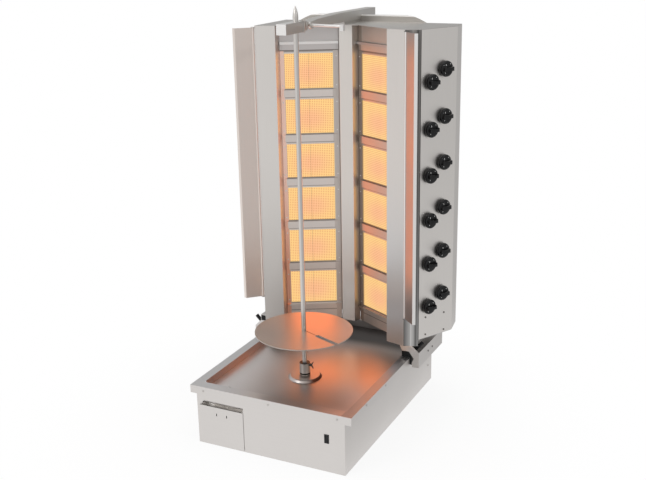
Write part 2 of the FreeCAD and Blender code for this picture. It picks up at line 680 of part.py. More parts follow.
# Spindle: it turns the spit, and takes its foot in a socket with a wing screw.
def make_spindle():
    depth = s.socket_top - s.spit_foot + 2
    neck_low = s.tray_floor + s.mound_high + s.gap
    shape = turned("spindle_body", [
        (0, s.spindle_low), (s.spindle_rad, s.spindle_low),
        (s.spindle_rad, neck_low), (s.socket_rad - 3, neck_low),
        (s.socket_rad - 3, s.ring_low), (s.socket_rad, s.ring_low),
        (s.socket_rad, s.socket_top - 1), (s.socket_rad - 1, s.socket_top),
        (s.shaft_rad + s.fit, s.socket_top), (s.shaft_rad + s.fit, s.socket_top - depth),
        (0, s.socket_top - depth),
    ])
    hole = rod("screw_hole", (0, 0, s.screw_level), "x", s.screw_rad + s.fit, s.socket_rad * 2)
    subpart("drive_spindle", cut("spindle", shape, hole))
    stalk = rod("screw_stalk", (s.shaft_rad + s.gap, 0, s.screw_level), "x", s.screw_rad,
                s.socket_rad - s.shaft_rad + 4)
    collar = rod("screw_collar", (s.socket_rad + s.gap, 0, s.screw_level), "x", s.screw_rad + 1.5, 5)
    root = s.socket_rad + s.gap
    level = s.screw_level
    wings = prism("screw_wings", [
        (root + 2, level - 3), (root + 5, level - 3), (root + 12, level - 12), (root + 14, level - 10.5),
        (root + 9, level), (root + 14, level + 10.5), (root + 12, level + 12), (root + 5, level + 3),
        (root + 2, level + 3),
    ], -1.2, 1.2, "XZ_Plane")
    subpart("socket_screw", fuse("wing_screw", stalk, collar, wings))


# Spit: a round bar with a bullet point, and a flat disc that carries the meat.
def make_spit():
    shape = turned("spit_bar", [
        (0, s.spit_foot), (s.shaft_rad - 1, s.spit_foot), (s.shaft_rad, s.spit_foot + 2),
        (s.shaft_rad, s.tip_low), (s.tip_rad - 0.6, s.tip_low + 1),
        (s.tip_rad, s.tip_low + (s.tip_top - s.tip_low) * 0.3),
        (s.tip_rad * 0.86, s.tip_low + (s.tip_top - s.tip_low) * 0.52),
        (s.tip_rad * 0.55, s.tip_low + (s.tip_top - s.tip_low) * 0.75),
        (s.tip_rad * 0.22, s.tip_low + (s.tip_top - s.tip_low) * 0.92), (0, s.tip_top),
    ])
    subpart("spit_shaft", shape)
    low = s.disc_top - s.disc_thick
    plate = rod("disc_plate", (0, 0, low), "z", s.disc_rad, s.disc_thick)
    hub = rod("disc_hub", (0, 0, low - s.hub_long), "z", s.hub_rad, s.hub_long)
    bore = rod("disc_bore", (0, 0, low - s.hub_long - 1), "z", s.shaft_rad, s.hub_long + s.disc_thick + 2)
    slit = box("disc_slit", (s.shaft_rad - 1, s.disc_rad), (-s.slit_wide / 2, s.slit_wide / 2),
               (low - s.hub_long - 1, s.disc_top + 1))
    slot = box("disc_slot", (s.slot_start, s.disc_rad + 2), (-s.slot_wide / 2, s.slot_wide / 2),
               (low - 1, s.disc_top + 1))
    disc = cut("disc", fuse("disc_solid", plate, hub), bore, slit, slot)
    subpart("spit_disc", place(disc, 0, 0, 0, s.slot_turn))


# Burner walls: a frame with six openings, cross rails, a head rail and two ledges on each side.
def make_burner_wall(side, word):
    sheet_z = (s.unit_low, s.unit_top - s.metal)
    plate = wall_box("wall_plate", side, (-s.stile_in, s.tile_wide + s.stile_out), (0, s.metal), sheet_z)
    holes = []
    rails = []
    pitch_gap = s.tile_pitch - s.tile_high
    for row in range(BURNERS):
        top = s.tile_first - s.tile_pitch * row
        holes.append(wall_box("tile_hole", side, (0, s.tile_wide), (-1, s.metal + 1),
                              (top - s.tile_high, top)))
        if row:
            middle = top + pitch_gap / 2 + s.rail_rise
            rails.append(wall_box("cross_rail", side, (-s.stile_in / 2, s.tile_wide + s.stile_out / 2),
                                  (-s.rail_proud, s.metal / 2),
                                  (middle - s.rail_high / 2, middle + s.rail_high / 2)))
    bottom = s.tile_first - s.tile_pitch * (BURNERS - 1) - s.tile_high
    head = s.tile_first + s.rail_high / 2
    rails.append(wall_box("head_rail", side, (-s.stile_in / 2, s.tile_wide + s.stile_out / 2),
                          (-s.rail_proud, s.metal / 2), (head, head + s.rail_high * 0.75)))
    for low, high in ((head + s.rail_high * 0.75, head + s.rail_high * 1.1), (bottom - 11, bottom - 6)):
        rails.append(wall_box("ledge", side, (-s.stile_in, s.tile_wide + s.stile_out),
                              (-s.rail_proud * 1.6, s.metal / 2), (low, high)))
    wall = fuse("wall_" + word, cut("wall_pierced_" + word, plate, *holes), *rails)
    subpart("burner_wall_" + word, on_wall("wall_turned_" + word, [wall], side))


# Tiles: two ceramic plates in each burner, and the mixing box behind them with its inlet.
def make_burners():
    tile_rows = []
    box_rows = []
    for side, word in SIDES:
        tiles = []
        boxes = []
        for row in range(BURNERS):
            top = s.tile_first - s.tile_pitch * row
            z = (top - s.tile_high, top)
            half = s.tile_wide / 2
            back = (s.metal + s.tile_sink - 1.5, s.metal + s.tile_sink - 1.5 + s.tile_thick)
            for along in ((0, half - s.gap / 2), (half + s.gap / 2, s.tile_wide)):
                tile = wall_box("tile_" + word, side, (size_of(along[0]) + s.gap, along[1] - s.gap), back,
                                (z[0] + s.gap, z[1] - s.gap))
                tiles.append(tile)
            rim = 4
            outer = wall_box("mixer_" + word, side, (-rim, s.tile_wide + rim),
                             (s.metal, s.metal + s.box_deep), (z[0] - rim, z[1] + rim))
            inner = wall_box("mixer_in_" + word, side, (0, s.tile_wide),
                             (0, s.metal + s.box_deep - s.metal), z)
            neck = rod("mixer_neck", ((s.tile_wide * 0.8) * side, s.metal + s.box_deep - s.metal / 2,
                                      top - s.tile_high / 2), "y", 11, 12)
            mixer = fuse("mixer_body", cut("mixer_shell", outer, inner), neck)
            boxes.append(mixer)
        tile_rows.append(on_wall("tiles_" + word, tiles, side))
        box_rows.append(on_wall("mixers_" + word, boxes, side))
    subpart("burner_tiles", group("tile_set", tile_rows))
    subpart("burner_boxes", group("mixer_set", box_rows))


# Cabinets: the folded casing behind each wall, with the bright flange beside the burners.
def make_cabinet(side, word):
    low = s.unit_low
    high = s.unit_top - s.metal
    seam = s.gap + s.metal / 2
    start = wall_point(side, s.tile_wide + s.stile_out + seam, size_of(0))
    near = wall_point(side, s.fold_near, s.fold_near_out)
    far = wall_point(side, s.fold_far, s.fold_far_out)
    corner = wall_point(side, s.side_at, -s.side_front)
    back_y = s.unit_back - s.metal / 2
    if side == RIGHT:
        front = folded("casing_front", [start, near, far, corner], low, high)
        rear_x = s.rear_at - s.metal
        rear = folded("casing_rear", [(s.gap, back_y), (rear_x, back_y)], s.floor_level - s.metal, high)
        outline = [wall_point(side, s.tile_wide + s.stile_out, -s.metal - s.gap), start, near, far, corner,
                   wall_point(side, s.side_at - s.metal, -s.side_bend), (rear_x, back_y), (s.gap, back_y),
                   (s.gap, s.inner_back + 50)]
    else:
        outer_x = far[0] - s.metal
        front = folded("casing_front", [start, near, far], low, high)
        rear = folded("casing_rear", [far, (outer_x, back_y), (-s.gap, back_y)], s.floor_level - s.metal, high)
        outline = [wall_point(side, s.tile_wide + s.stile_out, -s.metal - s.gap), start, near, far,
                   (outer_x, back_y), (-s.gap, back_y), (-s.gap, s.inner_back + 50)]
    floor = prism("casing_floor_" + word, outline, s.floor_level - s.metal, s.floor_level)
    reach = Size(math.cos(math.radians(s.wing_turn.value)), f"cos({s.wing_turn.text})")
    drop = Size(math.sin(math.radians(s.wing_turn.value)), f"sin({s.wing_turn.text})")
    axis = (far[0] + s.hinge_off * reach * side, far[1] - s.hinge_off * drop)
    ears = []
    for ear_low, pin_low in ((s.wing_top + s.gap, s.wing_top - s.pin_long),
                             (s.wing_low - s.gap - s.metal, s.wing_low - s.gap)):
        ears.append(rod("hinge_ear", (*axis, ear_low), "z", s.hinge_off + 1, s.metal))
        ears.append(rod("hinge_pin", (*axis, pin_low), "z", s.pin_rad, s.pin_long + s.gap + s.metal / 2))
    casing = fuse("casing_" + word, front, rear, floor, *ears)
    if side == RIGHT:
        inlet_at = manifold_point()
        hole = rod("inlet_hole", (inlet_at[0], s.unit_back - s.metal * 4, s.inlet_level), "y",
                   s.inlet_rad + s.gap, s.metal * 8)
        casing = cut("casing_done", casing, hole)
    subpart("cabinet_" + word, casing)
    make_wing(side, word, axis, reach, drop)


# Wings: the side shields, which swing on two pins.
def make_wing(side, word, axis, reach, drop):
    eye = rod("wing_eye", (*axis, s.wing_low), "z", s.eye_rad, s.wing_top - s.wing_low)
    begin = s.eye_rad - 1
    first = (axis[0] + begin * reach * side, axis[1] - begin * drop)
    tip = (axis[0] + s.wing_wide * reach * side, axis[1] - s.wing_wide * drop)
    lip = (tip[0] + s.wing_lip * side * 0.95, tip[1] + s.wing_lip * 0.3)
    plate = folded("wing_plate", [first, tip, lip], s.wing_low, s.wing_top)
    bores = []
    for low in (s.wing_low - 1, s.wing_top - s.pin_long - 1):
        bores.append(rod("wing_bore", (*axis, low), "z", s.pin_rad + s.fit, s.pin_long + 2))
    subpart("wing_" + word, cut("wing_done_" + word, fuse("wing_solid_" + word, eye, plate), *bores))


# Control side: a folded panel with a hole for each tap.
def make_control_panel():
    low = s.floor_level
    high = s.unit_top - s.metal
    clear = s.metal + s.gap
    first = wall_point(RIGHT, s.side_at, -s.side_front - clear)
    bend = wall_point(RIGHT, s.side_at, -s.side_bend)
    corner = (s.rear_at, s.unit_back - s.metal / 2)
    panel = folded("panel_sheet", [first, bend, corner], low + s.gap, high)
    holes = []
    for across, up, row, word in knob_places():
        hole = rod("panel_hole", (s.side_at - s.metal * 2, s.side_front + across, up), "x",
                   s.stem_rad + 1, s.metal * 4)
        holes.append(hole)
    subpart("control_panel", cut("panel_done", panel, on_wall("panel_holes", holes, RIGHT)))


def knob_places():
    """Where each knob sits on the control side: across, height, row and word."""
    places = []
    for row in range(BURNERS):
        step = s.knob_pitch * row
        places.append((s.knob_far, s.knob_high - step, row, "upper"))
        places.append((s.knob_near, s.knob_low - step, row, "lower"))
    return places


# Knobs and stems: each stem turns in its tap, and the knob slides on the stem when it is pushed.
def make_knobs():
    panel_face = s.side_at + s.metal / 2
    for number, (across, up, row, word) in enumerate(knob_places(), start=1):
        start = panel_face + s.knob_lift
        across_at = s.side_front + across
        skirt = rod("knob_skirt", (start, across_at, up), "x", s.skirt_rad, s.skirt_thick)
        drum = rod("knob_drum", (start, across_at, up), "x", s.knob_rad, s.knob_deep * 0.7)
        grip = box("knob_grip", (start + s.skirt_thick, start + s.knob_deep),
                   (across_at - s.knob_rad + 2, across_at + s.knob_rad - 2), (up - 6, up + 6))
        pointer = box("knob_pointer", (start, start + s.knob_deep * 0.6),
                      (across_at, across_at + s.skirt_rad + 4), (up - 2.5, up + 2.5))
        depth = s.knob_deep - 6
        bore = rod("knob_bore", (start - 1, across_at, up), "x", s.stem_rad + s.fit, depth + 1)
        body = cut(f"knob_body_{number}", fuse("knob_solid", skirt, drum, grip, pointer), bore)
        subpart(f"knob_{number}", on_wall("knob_turned", [body], RIGHT))
        reach = start + depth - s.knob_lift - 1
        stem = rod(f"stem_{number}", (reach - s.stem_long, across_at, up), "x", s.stem_rad, s.stem_long)
        subpart(f"tap_stem_{number}", on_wall("stem_turned", [stem], RIGHT))


def tap_end():
    """The inner end of the taps' stems, along the burner wall."""
    return s.side_at + s.metal / 2 + s.knob_deep - 7 - s.stem_long


def manifold_point():
    """The middle of the gas manifold on the plan."""
    middle = s.side_front + (s.knob_near + s.knob_far) / 2
    return wall_point(RIGHT, tap_end() - 14 - s.main_half, -middle)


# Gas taps on their upright manifold, and the pipes that feed the burners.
def make_gas():
    taps = []
    inner_end = tap_end()
    for across, up, row, word in knob_places():
        across_at = s.side_front + across
        body = box("tap_body", (inner_end - 14, s.side_at - s.metal * 2),
                   (across_at - s.tap_half, across_at + s.tap_half), (up - s.tap_half, up + s.tap_half))
        bore = rod("tap_bore", (inner_end, across_at, up), "x", s.stem_rad + s.fit, s.stem_long)
        taps.append(cut("tap", body, bore))
    subpart("gas_taps", on_wall("tap_set", taps, RIGHT))
    middle = s.side_front + (s.knob_near + s.knob_far) / 2
    main = wall_box("main_pipe", RIGHT, (inner_end - 14 - s.main_half * 2, inner_end - 14),
                    (middle - s.main_half, middle + s.main_half),
                    (s.inlet_level - s.main_half, s.knob_high + s.tap_half))
    arms = []
    for across, up, row, word in knob_places():
        across_at = s.side_front + across
        low, high = (middle, across_at) if across is s.knob_far else (across_at, middle)
        arms.append(wall_box("tap_arm", RIGHT, (inner_end - 14 - s.main_half, inner_end - 14), (low, high),
                             (up - 6, up + 6)))
    main_at = manifold_point()
    inlet_start = s.unit_back + s.inlet_off
    pipe = rod("inlet_pipe", (main_at[0], main_at[1], s.inlet_level), "y", s.inlet_rad - s.inlet_step,
               inlet_start + 1 - main_at[1])
    inlet = rod("inlet", (main_at[0], inlet_start, s.inlet_level), "y", s.inlet_rad, s.inlet_long)
    main_done = fuse("main_joined", on_wall("main_body", [fuse("main_arms", main, *arms)], RIGHT), pipe, inlet)
    subpart("gas_manifold", main_done)


# Centre post: a narrow channel that covers the corner where the two burner walls meet.
def make_centre_post():
    clear = s.metal + s.gap
    edge = wall_point(RIGHT, -s.stile_in - clear, size_of(0))
    points = [(-edge[0], edge[1]), (-s.post_half, s.post_front), (s.post_half, s.post_front), edge]
    subpart("centre_post", folded("post", points, s.unit_low, s.unit_top - s.metal))


# Top cover: one sheet over both cabinets, a hood in front of the burners, a crest at the back.
def make_top_cover():
    near = wall_point(RIGHT, s.fold_near, s.fold_near_out)
    far = wall_point(RIGHT, s.fold_far, s.fold_far_out)
    corner = wall_point(RIGHT, s.side_at, -s.side_front)
    bend = wall_point(RIGHT, s.side_at, -s.side_bend)
    left_x = -far[0] - s.metal
    plate = prism("cover_plate", [
        (-s.hood_at, s.hood_front), (s.hood_at, s.hood_front), near, far, corner, bend,
        (s.rear_at, s.unit_back), (left_x, s.unit_back), (-far[0], far[1]), (-near[0], near[1]),
    ], s.unit_top - s.metal, s.unit_top)
    back = (s.unit_back - s.metal, s.unit_back)
    top = s.unit_top + s.crest_high
    rise = ((0, 0), (0.15, 0.22), (0.35, 0.51), (0.55, 0.75), (0.75, 0.92), (1, 1))
    right_end = [(s.crest_right - s.crest_run * run, s.unit_top + s.crest_high * up) for run, up in rise]
    left_end = [(s.crest_run * run - s.crest_left, s.unit_top + s.crest_high * up) for run, up in reversed(rise)]
    foot = s.unit_top - s.metal / 2
    outline = [(-s.crest_left, foot), (s.crest_right, foot)] + right_end + left_end
    crest = prism("crest", outline, back[0], back[1], "XZ_Plane")
    lip = box("crest_lip", (s.crest_run - s.crest_left, s.crest_right - s.crest_run),
              (back[0], back[1] + s.crest_lip), (top - s.metal, top))
    notch = box("crest_notch", (-s.arm_half - s.gap, s.arm_half + s.gap),
                (back[0] - s.metal, back[1] + s.crest_lip + s.metal), (s.unit_top, top + 1))
    crest_done = cut("crest_done", fuse("crest_solid", crest, lip), notch)
    subpart("top_cover", fuse("cover", plate, crest_done, make_arm_guide()))


# The rail on the cover that the top arm slides on, with a head inside the arm.
def make_arm_guide():
    y = (s.guide_front, s.guide_back)
    foot = box("guide_foot", (-s.arm_half, s.arm_half), y, (s.unit_top, s.arm_low - s.gap))
    stem = box("guide_stem", (-s.guide_slot / 2 + s.gap, s.guide_slot / 2 - s.gap), y,
               (s.unit_top, s.arm_low + s.arm_wall + s.gap + 1))
    head_low = s.arm_low + s.arm_wall + s.gap
    head = box("guide_head", (-s.guide_head / 2, s.guide_head / 2), y, (head_low, head_low + s.arm_wall * 2))
    notch = box("guide_notch", (-s.arm_half - 1, s.arm_half + 1), (s.unit_back - s.metal - s.gap, s.guide_back + 1),
                (s.unit_top - 1, s.unit_top + s.gap))
    return cut("guide", fuse("guide_solid", foot, stem, head), notch)


# Top arm: a channel that reaches over the spit, the block that takes the spit's point in its bore,
# and the clamp handle.
def make_top_arm():
    block_top = s.block_low + s.block_high
    block = box("block_body", (-s.block_half, s.block_half), (-s.block_front, s.block_back),
                (s.block_low, block_top))
    bore = rod("block_bore", (0, 0, s.block_low - 1), "z", s.tip_rad + s.gap, s.block_high + 2)
    subpart("bearing_block", cut("block", block, bore))
    top = s.arm_low + s.arm_high
    middle = s.block_low + s.block_high / 2
    channel = prism("arm_channel", [
        (s.arm_start, middle - s.neck_rad - 2), (s.arm_start, middle + s.neck_rad + 2),
        (s.arm_full - s.arm_slope, top - 4), (s.arm_full, top), (s.arm_back, top - 2), (s.arm_back, s.arm_low),
        (s.arm_full, s.arm_low), (s.arm_start + 30, s.arm_low + 5),
    ], -s.arm_half, s.arm_half, "YZ_Plane")
    hollow_front = s.arm_start + 40
    hollow = box("arm_hollow", (-s.arm_half + s.arm_wall, s.arm_half - s.arm_wall),
                 (hollow_front, s.arm_back + 1), (s.arm_low + s.arm_wall, top - s.arm_wall * 3))
    slot = box("arm_slot", (-s.guide_slot / 2, s.guide_slot / 2), (hollow_front, s.arm_back + 1),
               (s.arm_low - 1, s.arm_low + s.arm_wall + 1))
    neck = rod("arm_neck", (0, s.block_back, middle), "y", s.neck_rad, s.arm_start - s.block_back + 1)
    flange = box("arm_flange", (-s.block_half - 2, s.block_half + 2), (s.block_back, s.block_back + 6),
                 (s.block_low - 2, block_top + 2))
    collar = box("arm_collar", (-s.block_half + 2, s.block_half - 2),
                 (s.block_back + 20, s.block_back + 28), (s.block_low + 2, block_top - 2))
    start = s.arm_half - 8
    seat = rod("clamp_seat", (start, 0, s.clamp_level), "x", s.clamp_rad + s.fit, 60)
    boss = rod("clamp_boss", (s.arm_half - 3, 0, s.clamp_level), "x", s.boss_rad, s.boss_long + 3)
    boss_at = place(group("clamp_boss_at", [boss]), 0, s.clamp_at, 0, -s.clamp_turn)
    seat_at = place(group("clamp_seat_at", [seat]), 0, s.clamp_at, 0, -s.clamp_turn)
    arm = fuse("arm_solid", cut("arm_shell", channel, hollow, slot), neck, flange, collar, boss_at)
    subpart("top_arm", cut("arm_done", arm, seat_at))
    bar = rod("clamp_bar", (start, 0, s.clamp_level), "x", s.clamp_rad, s.clamp_long + 8)
    end = s.arm_half + s.clamp_long
    crank = box("clamp_crank", (end - 2, end + 10), (-6, 4), (s.clamp_level - 13, s.clamp_level + 5))
    handle = fuse("clamp", bar, crank)
    subpart("clamp_handle", place(group("clamp_at", [handle]), 0, s.clamp_at, 0, -s.clamp_turn))


# Carriages: a folded rail on each side, with a front plate that hooks around the tray's lip.
def make_carriage(side, word):
    half = s.metal / 2
    top = s.floor_level - s.metal - half
    section = [
        (s.rail_in, top), (s.rail_web, top), (s.rail_web, s.rail_ledge - half),
        (s.rail_out - half, s.rail_ledge - half), (s.rail_out - half, s.rail_low),
    ]
    runs = []
    y = (s.rail_front + half, s.rail_back)
    for first, last in zip(section, section[1:]):
        if first[1] is last[1] or first[1].text == last[1].text:
            x = (first[0] - half, last[0] + half)
            z = (first[1] - half, first[1] + half)
        else:
            x = (first[0] - half, first[0] + half)
            z = (last[1] - half, first[1] + half)
        if side == LEFT:
            x = (-x[1], -x[0])
        runs.append(box("rail_run", x, y, z))
    hook = [
        (s.rail_in + 5, s.unit_low - s.gap), (s.rail_in + 16, s.rail_ledge),
        (s.rim_half - 4, s.rail_ledge), (s.rim_half + 13, s.rim_top - 3),
        (s.rim_half + 6, s.rail_low + 13), (s.rim_half + 7, s.rail_low - half),
        (s.rail_out, s.rail_low - half), (s.rail_out, s.rail_ledge), (s.rail_web, s.unit_low - s.gap),
    ]
    plate = prism("hook_plate_" + word, [(x * side, z) for x, z in hook],
                  s.rail_front, s.rail_front + s.metal, "XZ_Plane")
    reach = s.rail_web - 4 if side == RIGHT else -s.rail_web - 8
    hole = rod("lever_hole", (reach, s.lever_back, s.lever_level), "x", s.grip_rad - 2 + s.fit, 12)
    subpart("carriage_" + word, cut("carriage_done_" + word, fuse("carriage_solid_" + word, plate, *runs), hole))


# Glide pads: plastic shoes that carry the burner unit on the tray's rim.
def make_glide_pads():
    pads = []
    inside = s.rail_web - s.metal / 2 - s.gap
    for side, word in SIDES:
        shoe = [
            (s.rail_in + 14, s.rim_top + s.gap), (s.rim_half + s.gap, s.rim_top + s.gap),
            (s.rim_half + s.gap, s.rim_top - s.lip_drop), (inside, s.rim_top - s.lip_drop),
            (inside, s.floor_level - s.metal * 2 ), (s.rail_in + 14, s.floor_level - s.metal * 2),
        ]
        for low in (s.rail_front + s.metal, s.rail_back - s.pad_long - s.pad_back):
            pad = prism("pad_" + word, [(x * side, z) for x, z in shoe], low, low + s.pad_long, "XZ_Plane")
            pads.append(pad)
    subpart("glide_pads", group("pad_set", pads))


# Lock levers: a screw through the carriage's web, with a slanted black grip.
def make_lock_lever(side, word):
    screw_rad = s.grip_rad - 2
    start = s.rail_web - s.metal / 2
    face = s.rail_web + s.metal / 2 + s.gap
    screw_x = start if side == RIGHT else -start - 8
    screw = rod("lever_screw", (screw_x, s.lever_back, s.lever_level), "x", screw_rad, 8)
    boss_x = face if side == RIGHT else -face - 10
    boss = rod("lever_boss", (boss_x, s.lever_back, s.lever_level), "x", s.grip_rad - 0.8, 10)
    grip = DOC.addObject("Part::Cylinder", "lever_grip")
    bind(grip, "Radius", s.grip_rad)
    bind(grip, "Height", (s.grip_reach - face - 7) * 1.4142)
    grip.Placement.Rotation = FreeCAD.Rotation(FreeCAD.Vector(0, 1, 0), 45 * side)
    bind(grip, "Placement.Base.x", (face + 5) * side)
    bind(grip, "Placement.Base.y", s.lever_back)
    bind(grip, "Placement.Base.z", s.lever_level + 1)
    neck = DOC.addObject("Part::Sphere", "lever_neck")
    bind(neck, "Radius", s.grip_rad)
    bind(neck, "Placement.Base.x", (face + s.grip_rad) * side)
    bind(neck, "Placement.Base.y", s.lever_back)
    bind(neck, "Placement.Base.z", s.lever_level + 1.4)
    subpart("lock_lever_" + word, fuse("lever_" + word, screw, boss, neck, grip))


# Screws of the burner unit: on the control side, on the carriages and on the burner walls.
def make_case_screws():
    head_thick = 1.4
    head_rad = 3
    face = s.side_at + s.metal / 2
    heads = []
    for across, up in ((31, 73), (112, 71), (31, 12), (112, 10)):
        head = rod("side_head", (face, s.side_front + across, s.floor_level + up), "x", head_rad, head_thick)
        heads.append(head)
    sets = [on_wall("side_heads", heads, RIGHT)]
    for side, word in SIDES:
        heads = []
        start = s.rail_out if side == RIGHT else -s.rail_out - head_thick
        for back in (s.rail_screw, s.rail_screw + s.rail_step):
            sets.append(rod("rail_head", (start, s.rail_front + back, (s.rail_low + s.rail_ledge) / 2), "x",
                            head_rad, head_thick))
        for row in range(BURNERS):
            top = s.tile_first - s.tile_pitch * row
            for along in (-s.stile_in / 2 - 2, s.tile_wide + s.stile_out / 2):
                for level in (top - 10, top - s.tile_high + 10):
                    head = rod("wall_head", (along * side, -head_thick, level), "y", 2.2, head_thick)
                    heads.append(head)
        sets.append(on_wall("wall_heads_" + word, heads, side))
    subpart("case_screws", group("case_screw_set", sets))


make_base_case()
make_grease_tray()
make_base_screws()
make_drawer()
make_switch()
make_drive()
make_spindle()
make_spit()
for side, word in SIDES:
    make_burner_wall(side, word)
    make_cabinet(side, word)
    make_carriage(side, word)
    make_lock_lever(side, word)
make_burners()
make_control_panel()
make_knobs()
make_gas()
make_centre_post()
make_top_cover()
make_top_arm()
make_glide_pads()
make_case_screws()

DOC.recompute()

for item in DOC.Objects:
    states = set(item.State)
    if states & {"Invalid", "Error"}:
        raise SystemExit(f"{item.Label} can't be made: {item.State}")

os.makedirs("parts", exist_ok=True)
for item in subparts:
    shape = item.Shape
    if shape.isNull() or not shape.isValid():
        raise SystemExit(f"{item.Label} isn't a valid shape")
    shape.exportStep(os.path.join("parts", item.Label + ".step"))
print(len(subparts), "sub-parts written")
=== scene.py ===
import math

import bmesh
import bpy
from mathutils import Matrix, Vector


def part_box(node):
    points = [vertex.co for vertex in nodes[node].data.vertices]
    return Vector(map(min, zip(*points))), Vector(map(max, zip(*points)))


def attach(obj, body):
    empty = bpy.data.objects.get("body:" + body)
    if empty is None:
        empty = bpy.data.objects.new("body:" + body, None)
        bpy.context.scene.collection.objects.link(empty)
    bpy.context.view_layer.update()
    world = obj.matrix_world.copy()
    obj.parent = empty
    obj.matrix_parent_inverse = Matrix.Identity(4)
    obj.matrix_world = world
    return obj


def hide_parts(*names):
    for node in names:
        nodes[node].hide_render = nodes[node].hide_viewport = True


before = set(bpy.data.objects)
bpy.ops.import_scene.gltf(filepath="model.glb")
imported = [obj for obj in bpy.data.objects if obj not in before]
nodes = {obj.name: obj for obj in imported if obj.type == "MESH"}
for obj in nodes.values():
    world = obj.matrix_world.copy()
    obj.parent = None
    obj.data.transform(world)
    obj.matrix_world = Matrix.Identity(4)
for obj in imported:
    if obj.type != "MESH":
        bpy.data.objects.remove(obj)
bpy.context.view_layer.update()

# Camera: it stands to the front right of the machine, a little above its top, and looks down.
# Place, direction and lens are those that the photograph was taken with.
EYE = Vector((1.37092, -2.60123, 1.56074))
YAW, PITCH, ROLL = (math.radians(angle) for angle in (26.48, 17.47, -1.16))
FOCAL_PIXELS, PHOTO_PIXELS, SENSOR_MM = 985.99, 646, 36
forward = Vector((-math.sin(YAW) * math.cos(PITCH), math.cos(YAW) * math.cos(PITCH), -math.sin(PITCH)))
level = Vector((math.cos(YAW), math.sin(YAW), 0))
upright = level.cross(forward)
across = level * math.cos(ROLL) + upright * math.sin(ROLL)
up = upright * math.cos(ROLL) - level * math.sin(ROLL)
camera = bpy.data.objects.new("camera", bpy.data.cameras.new("camera"))
camera.data.sensor_width = SENSOR_MM
camera.data.lens = FOCAL_PIXELS * SENSOR_MM / PHOTO_PIXELS
camera.data.clip_end = 50
camera.matrix_world = Matrix.Translation(EYE) @ Matrix((across, up, -forward)).transposed().to_4x4()
bpy.context.scene.collection.objects.link(camera)
bpy.context.scene.camera = camera
bpy.context.scene.view_settings.view_transform = "Standard"


def linear(colour):
    """An sRGB hex colour as the linear values that the shaders take."""
    parts = [int(colour[start:start + 2], 16) / 255 for start in (1, 3, 5)]
    return [part / 12.92 if part <= 0.04045 else ((part + 0.055) / 1.055) ** 2.4 for part in parts] + [1]


def add(tree, kind, settings=None, **links):
    """Adds a node, sets its settings and fills its inputs with values or other nodes' outputs."""
    node = tree.nodes.new(kind)
    for key, value in (settings or {}).items():
        setattr(node, key, value)
    for key, value in links.items():
        numbered = key[0] == "i" and key[1:].isdigit()
        socket = node.inputs[int(key[1:])] if numbered else node.inputs[key.replace("_", " ")]
        if isinstance(value, bpy.types.NodeSocket):
            tree.links.new(value, socket)
        else:
            socket.default_value = value
    return node


def blank_material(name):
    """A material with nothing in it but its output."""
    material = bpy.data.materials.new(name)
    material.use_nodes = True
    material.node_tree.nodes.clear()
    output = add(material.node_tree, "ShaderNodeOutputMaterial")
    return material, material.node_tree, output


def dress(names, material):
    """Gives CAD nodes a material."""
    for name in names:
        mesh = nodes[name].data
        mesh.materials.clear()
        mesh.materials.append(material)


# Studio: a white paper floor that takes the machine's soft shadow, and a white room around it.
# The floor has painted shade behind and beside the machine that only the steel's reflections see,
# and the room darkens to the right and behind, which gives its sides their two tones.
SMOOTH, COLOURS = {"interpolation_type": "SMOOTHSTEP"}, {"data_type": "RGBA"}
FLOOR_HALF, FLOOR_LEVEL = 9, -0.001
PAINTED_SHADE_BEHIND, PAINTED_SHADE_BESIDE = 0.5, 0.32
SHADOW_NEAR, SHADOW_FAR, SHADOW_PAPER = 0.3, 1.1, 0.86
ROOM_RIGHT, ROOM_FRONT, ROOM_BACK = 0.74, 0.86, 0.5
floor_mesh = bpy.data.meshes.new("floor")
floor_mesh.from_pydata([(-FLOOR_HALF, -FLOOR_HALF, FLOOR_LEVEL), (FLOOR_HALF, -FLOOR_HALF, FLOOR_LEVEL),
                        (FLOOR_HALF, FLOOR_HALF, FLOOR_LEVEL), (-FLOOR_HALF, FLOOR_HALF, FLOOR_LEVEL)],
                       [], [(0, 1, 2, 3)])
floor = bpy.data.objects.new("floor", floor_mesh)
bpy.context.scene.collection.objects.link(floor)
paper, tree, output = blank_material("matt_white_paper")
matt = add(tree, "ShaderNodeBsdfDiffuse", Color=linear("#FFFFFF"))
path = add(tree, "ShaderNodeLightPath")
place = add(tree, "ShaderNodeTexCoord")
spot = add(tree, "ShaderNodeSeparateXYZ", Vector=place.outputs["Object"])
behind = add(tree, "ShaderNodeMapRange", SMOOTH, Value=spot.outputs["Y"],
             From_Min=0.0, From_Max=1.6, To_Min=0.0, To_Max=PAINTED_SHADE_BEHIND)
beside = add(tree, "ShaderNodeMapRange", SMOOTH, Value=spot.outputs["X"],
             From_Min=0.2, From_Max=0.45, To_Min=0.0, To_Max=PAINTED_SHADE_BESIDE)
painted_floor_shade = add(tree, "ShaderNodeMath", {"operation": "MAXIMUM"}, i0=behind.outputs[0], i1=beside.outputs[0])
# Painted shade on the floor, seen only by glossy rays.
dimmer = add(tree, "ShaderNodeMath", {"operation": "MULTIPLY"}, i0=path.outputs["Is Glossy Ray"],
             i1=painted_floor_shade.outputs[0])
strength = add(tree, "ShaderNodeMath", {"operation": "SUBTRACT"}, i0=1.0, i1=dimmer.outputs[0])
white = add(tree, "ShaderNodeEmission", Color=linear("#FFFFFF"), Strength=strength.outputs[0])
shown = add(tree, "ShaderNodeMath", {"operation": "MAXIMUM"}, i0=path.outputs["Is Camera Ray"],
            i1=path.outputs["Is Glossy Ray"])
away = add(tree, "ShaderNodeVectorMath", {"operation": "LENGTH"}, i0=place.outputs["Object"])
fade = add(tree, "ShaderNodeMapRange", SMOOTH, Value=away.outputs["Value"],
           From_Min=SHADOW_NEAR, From_Max=SHADOW_FAR, To_Min=SHADOW_PAPER, To_Max=1.0)
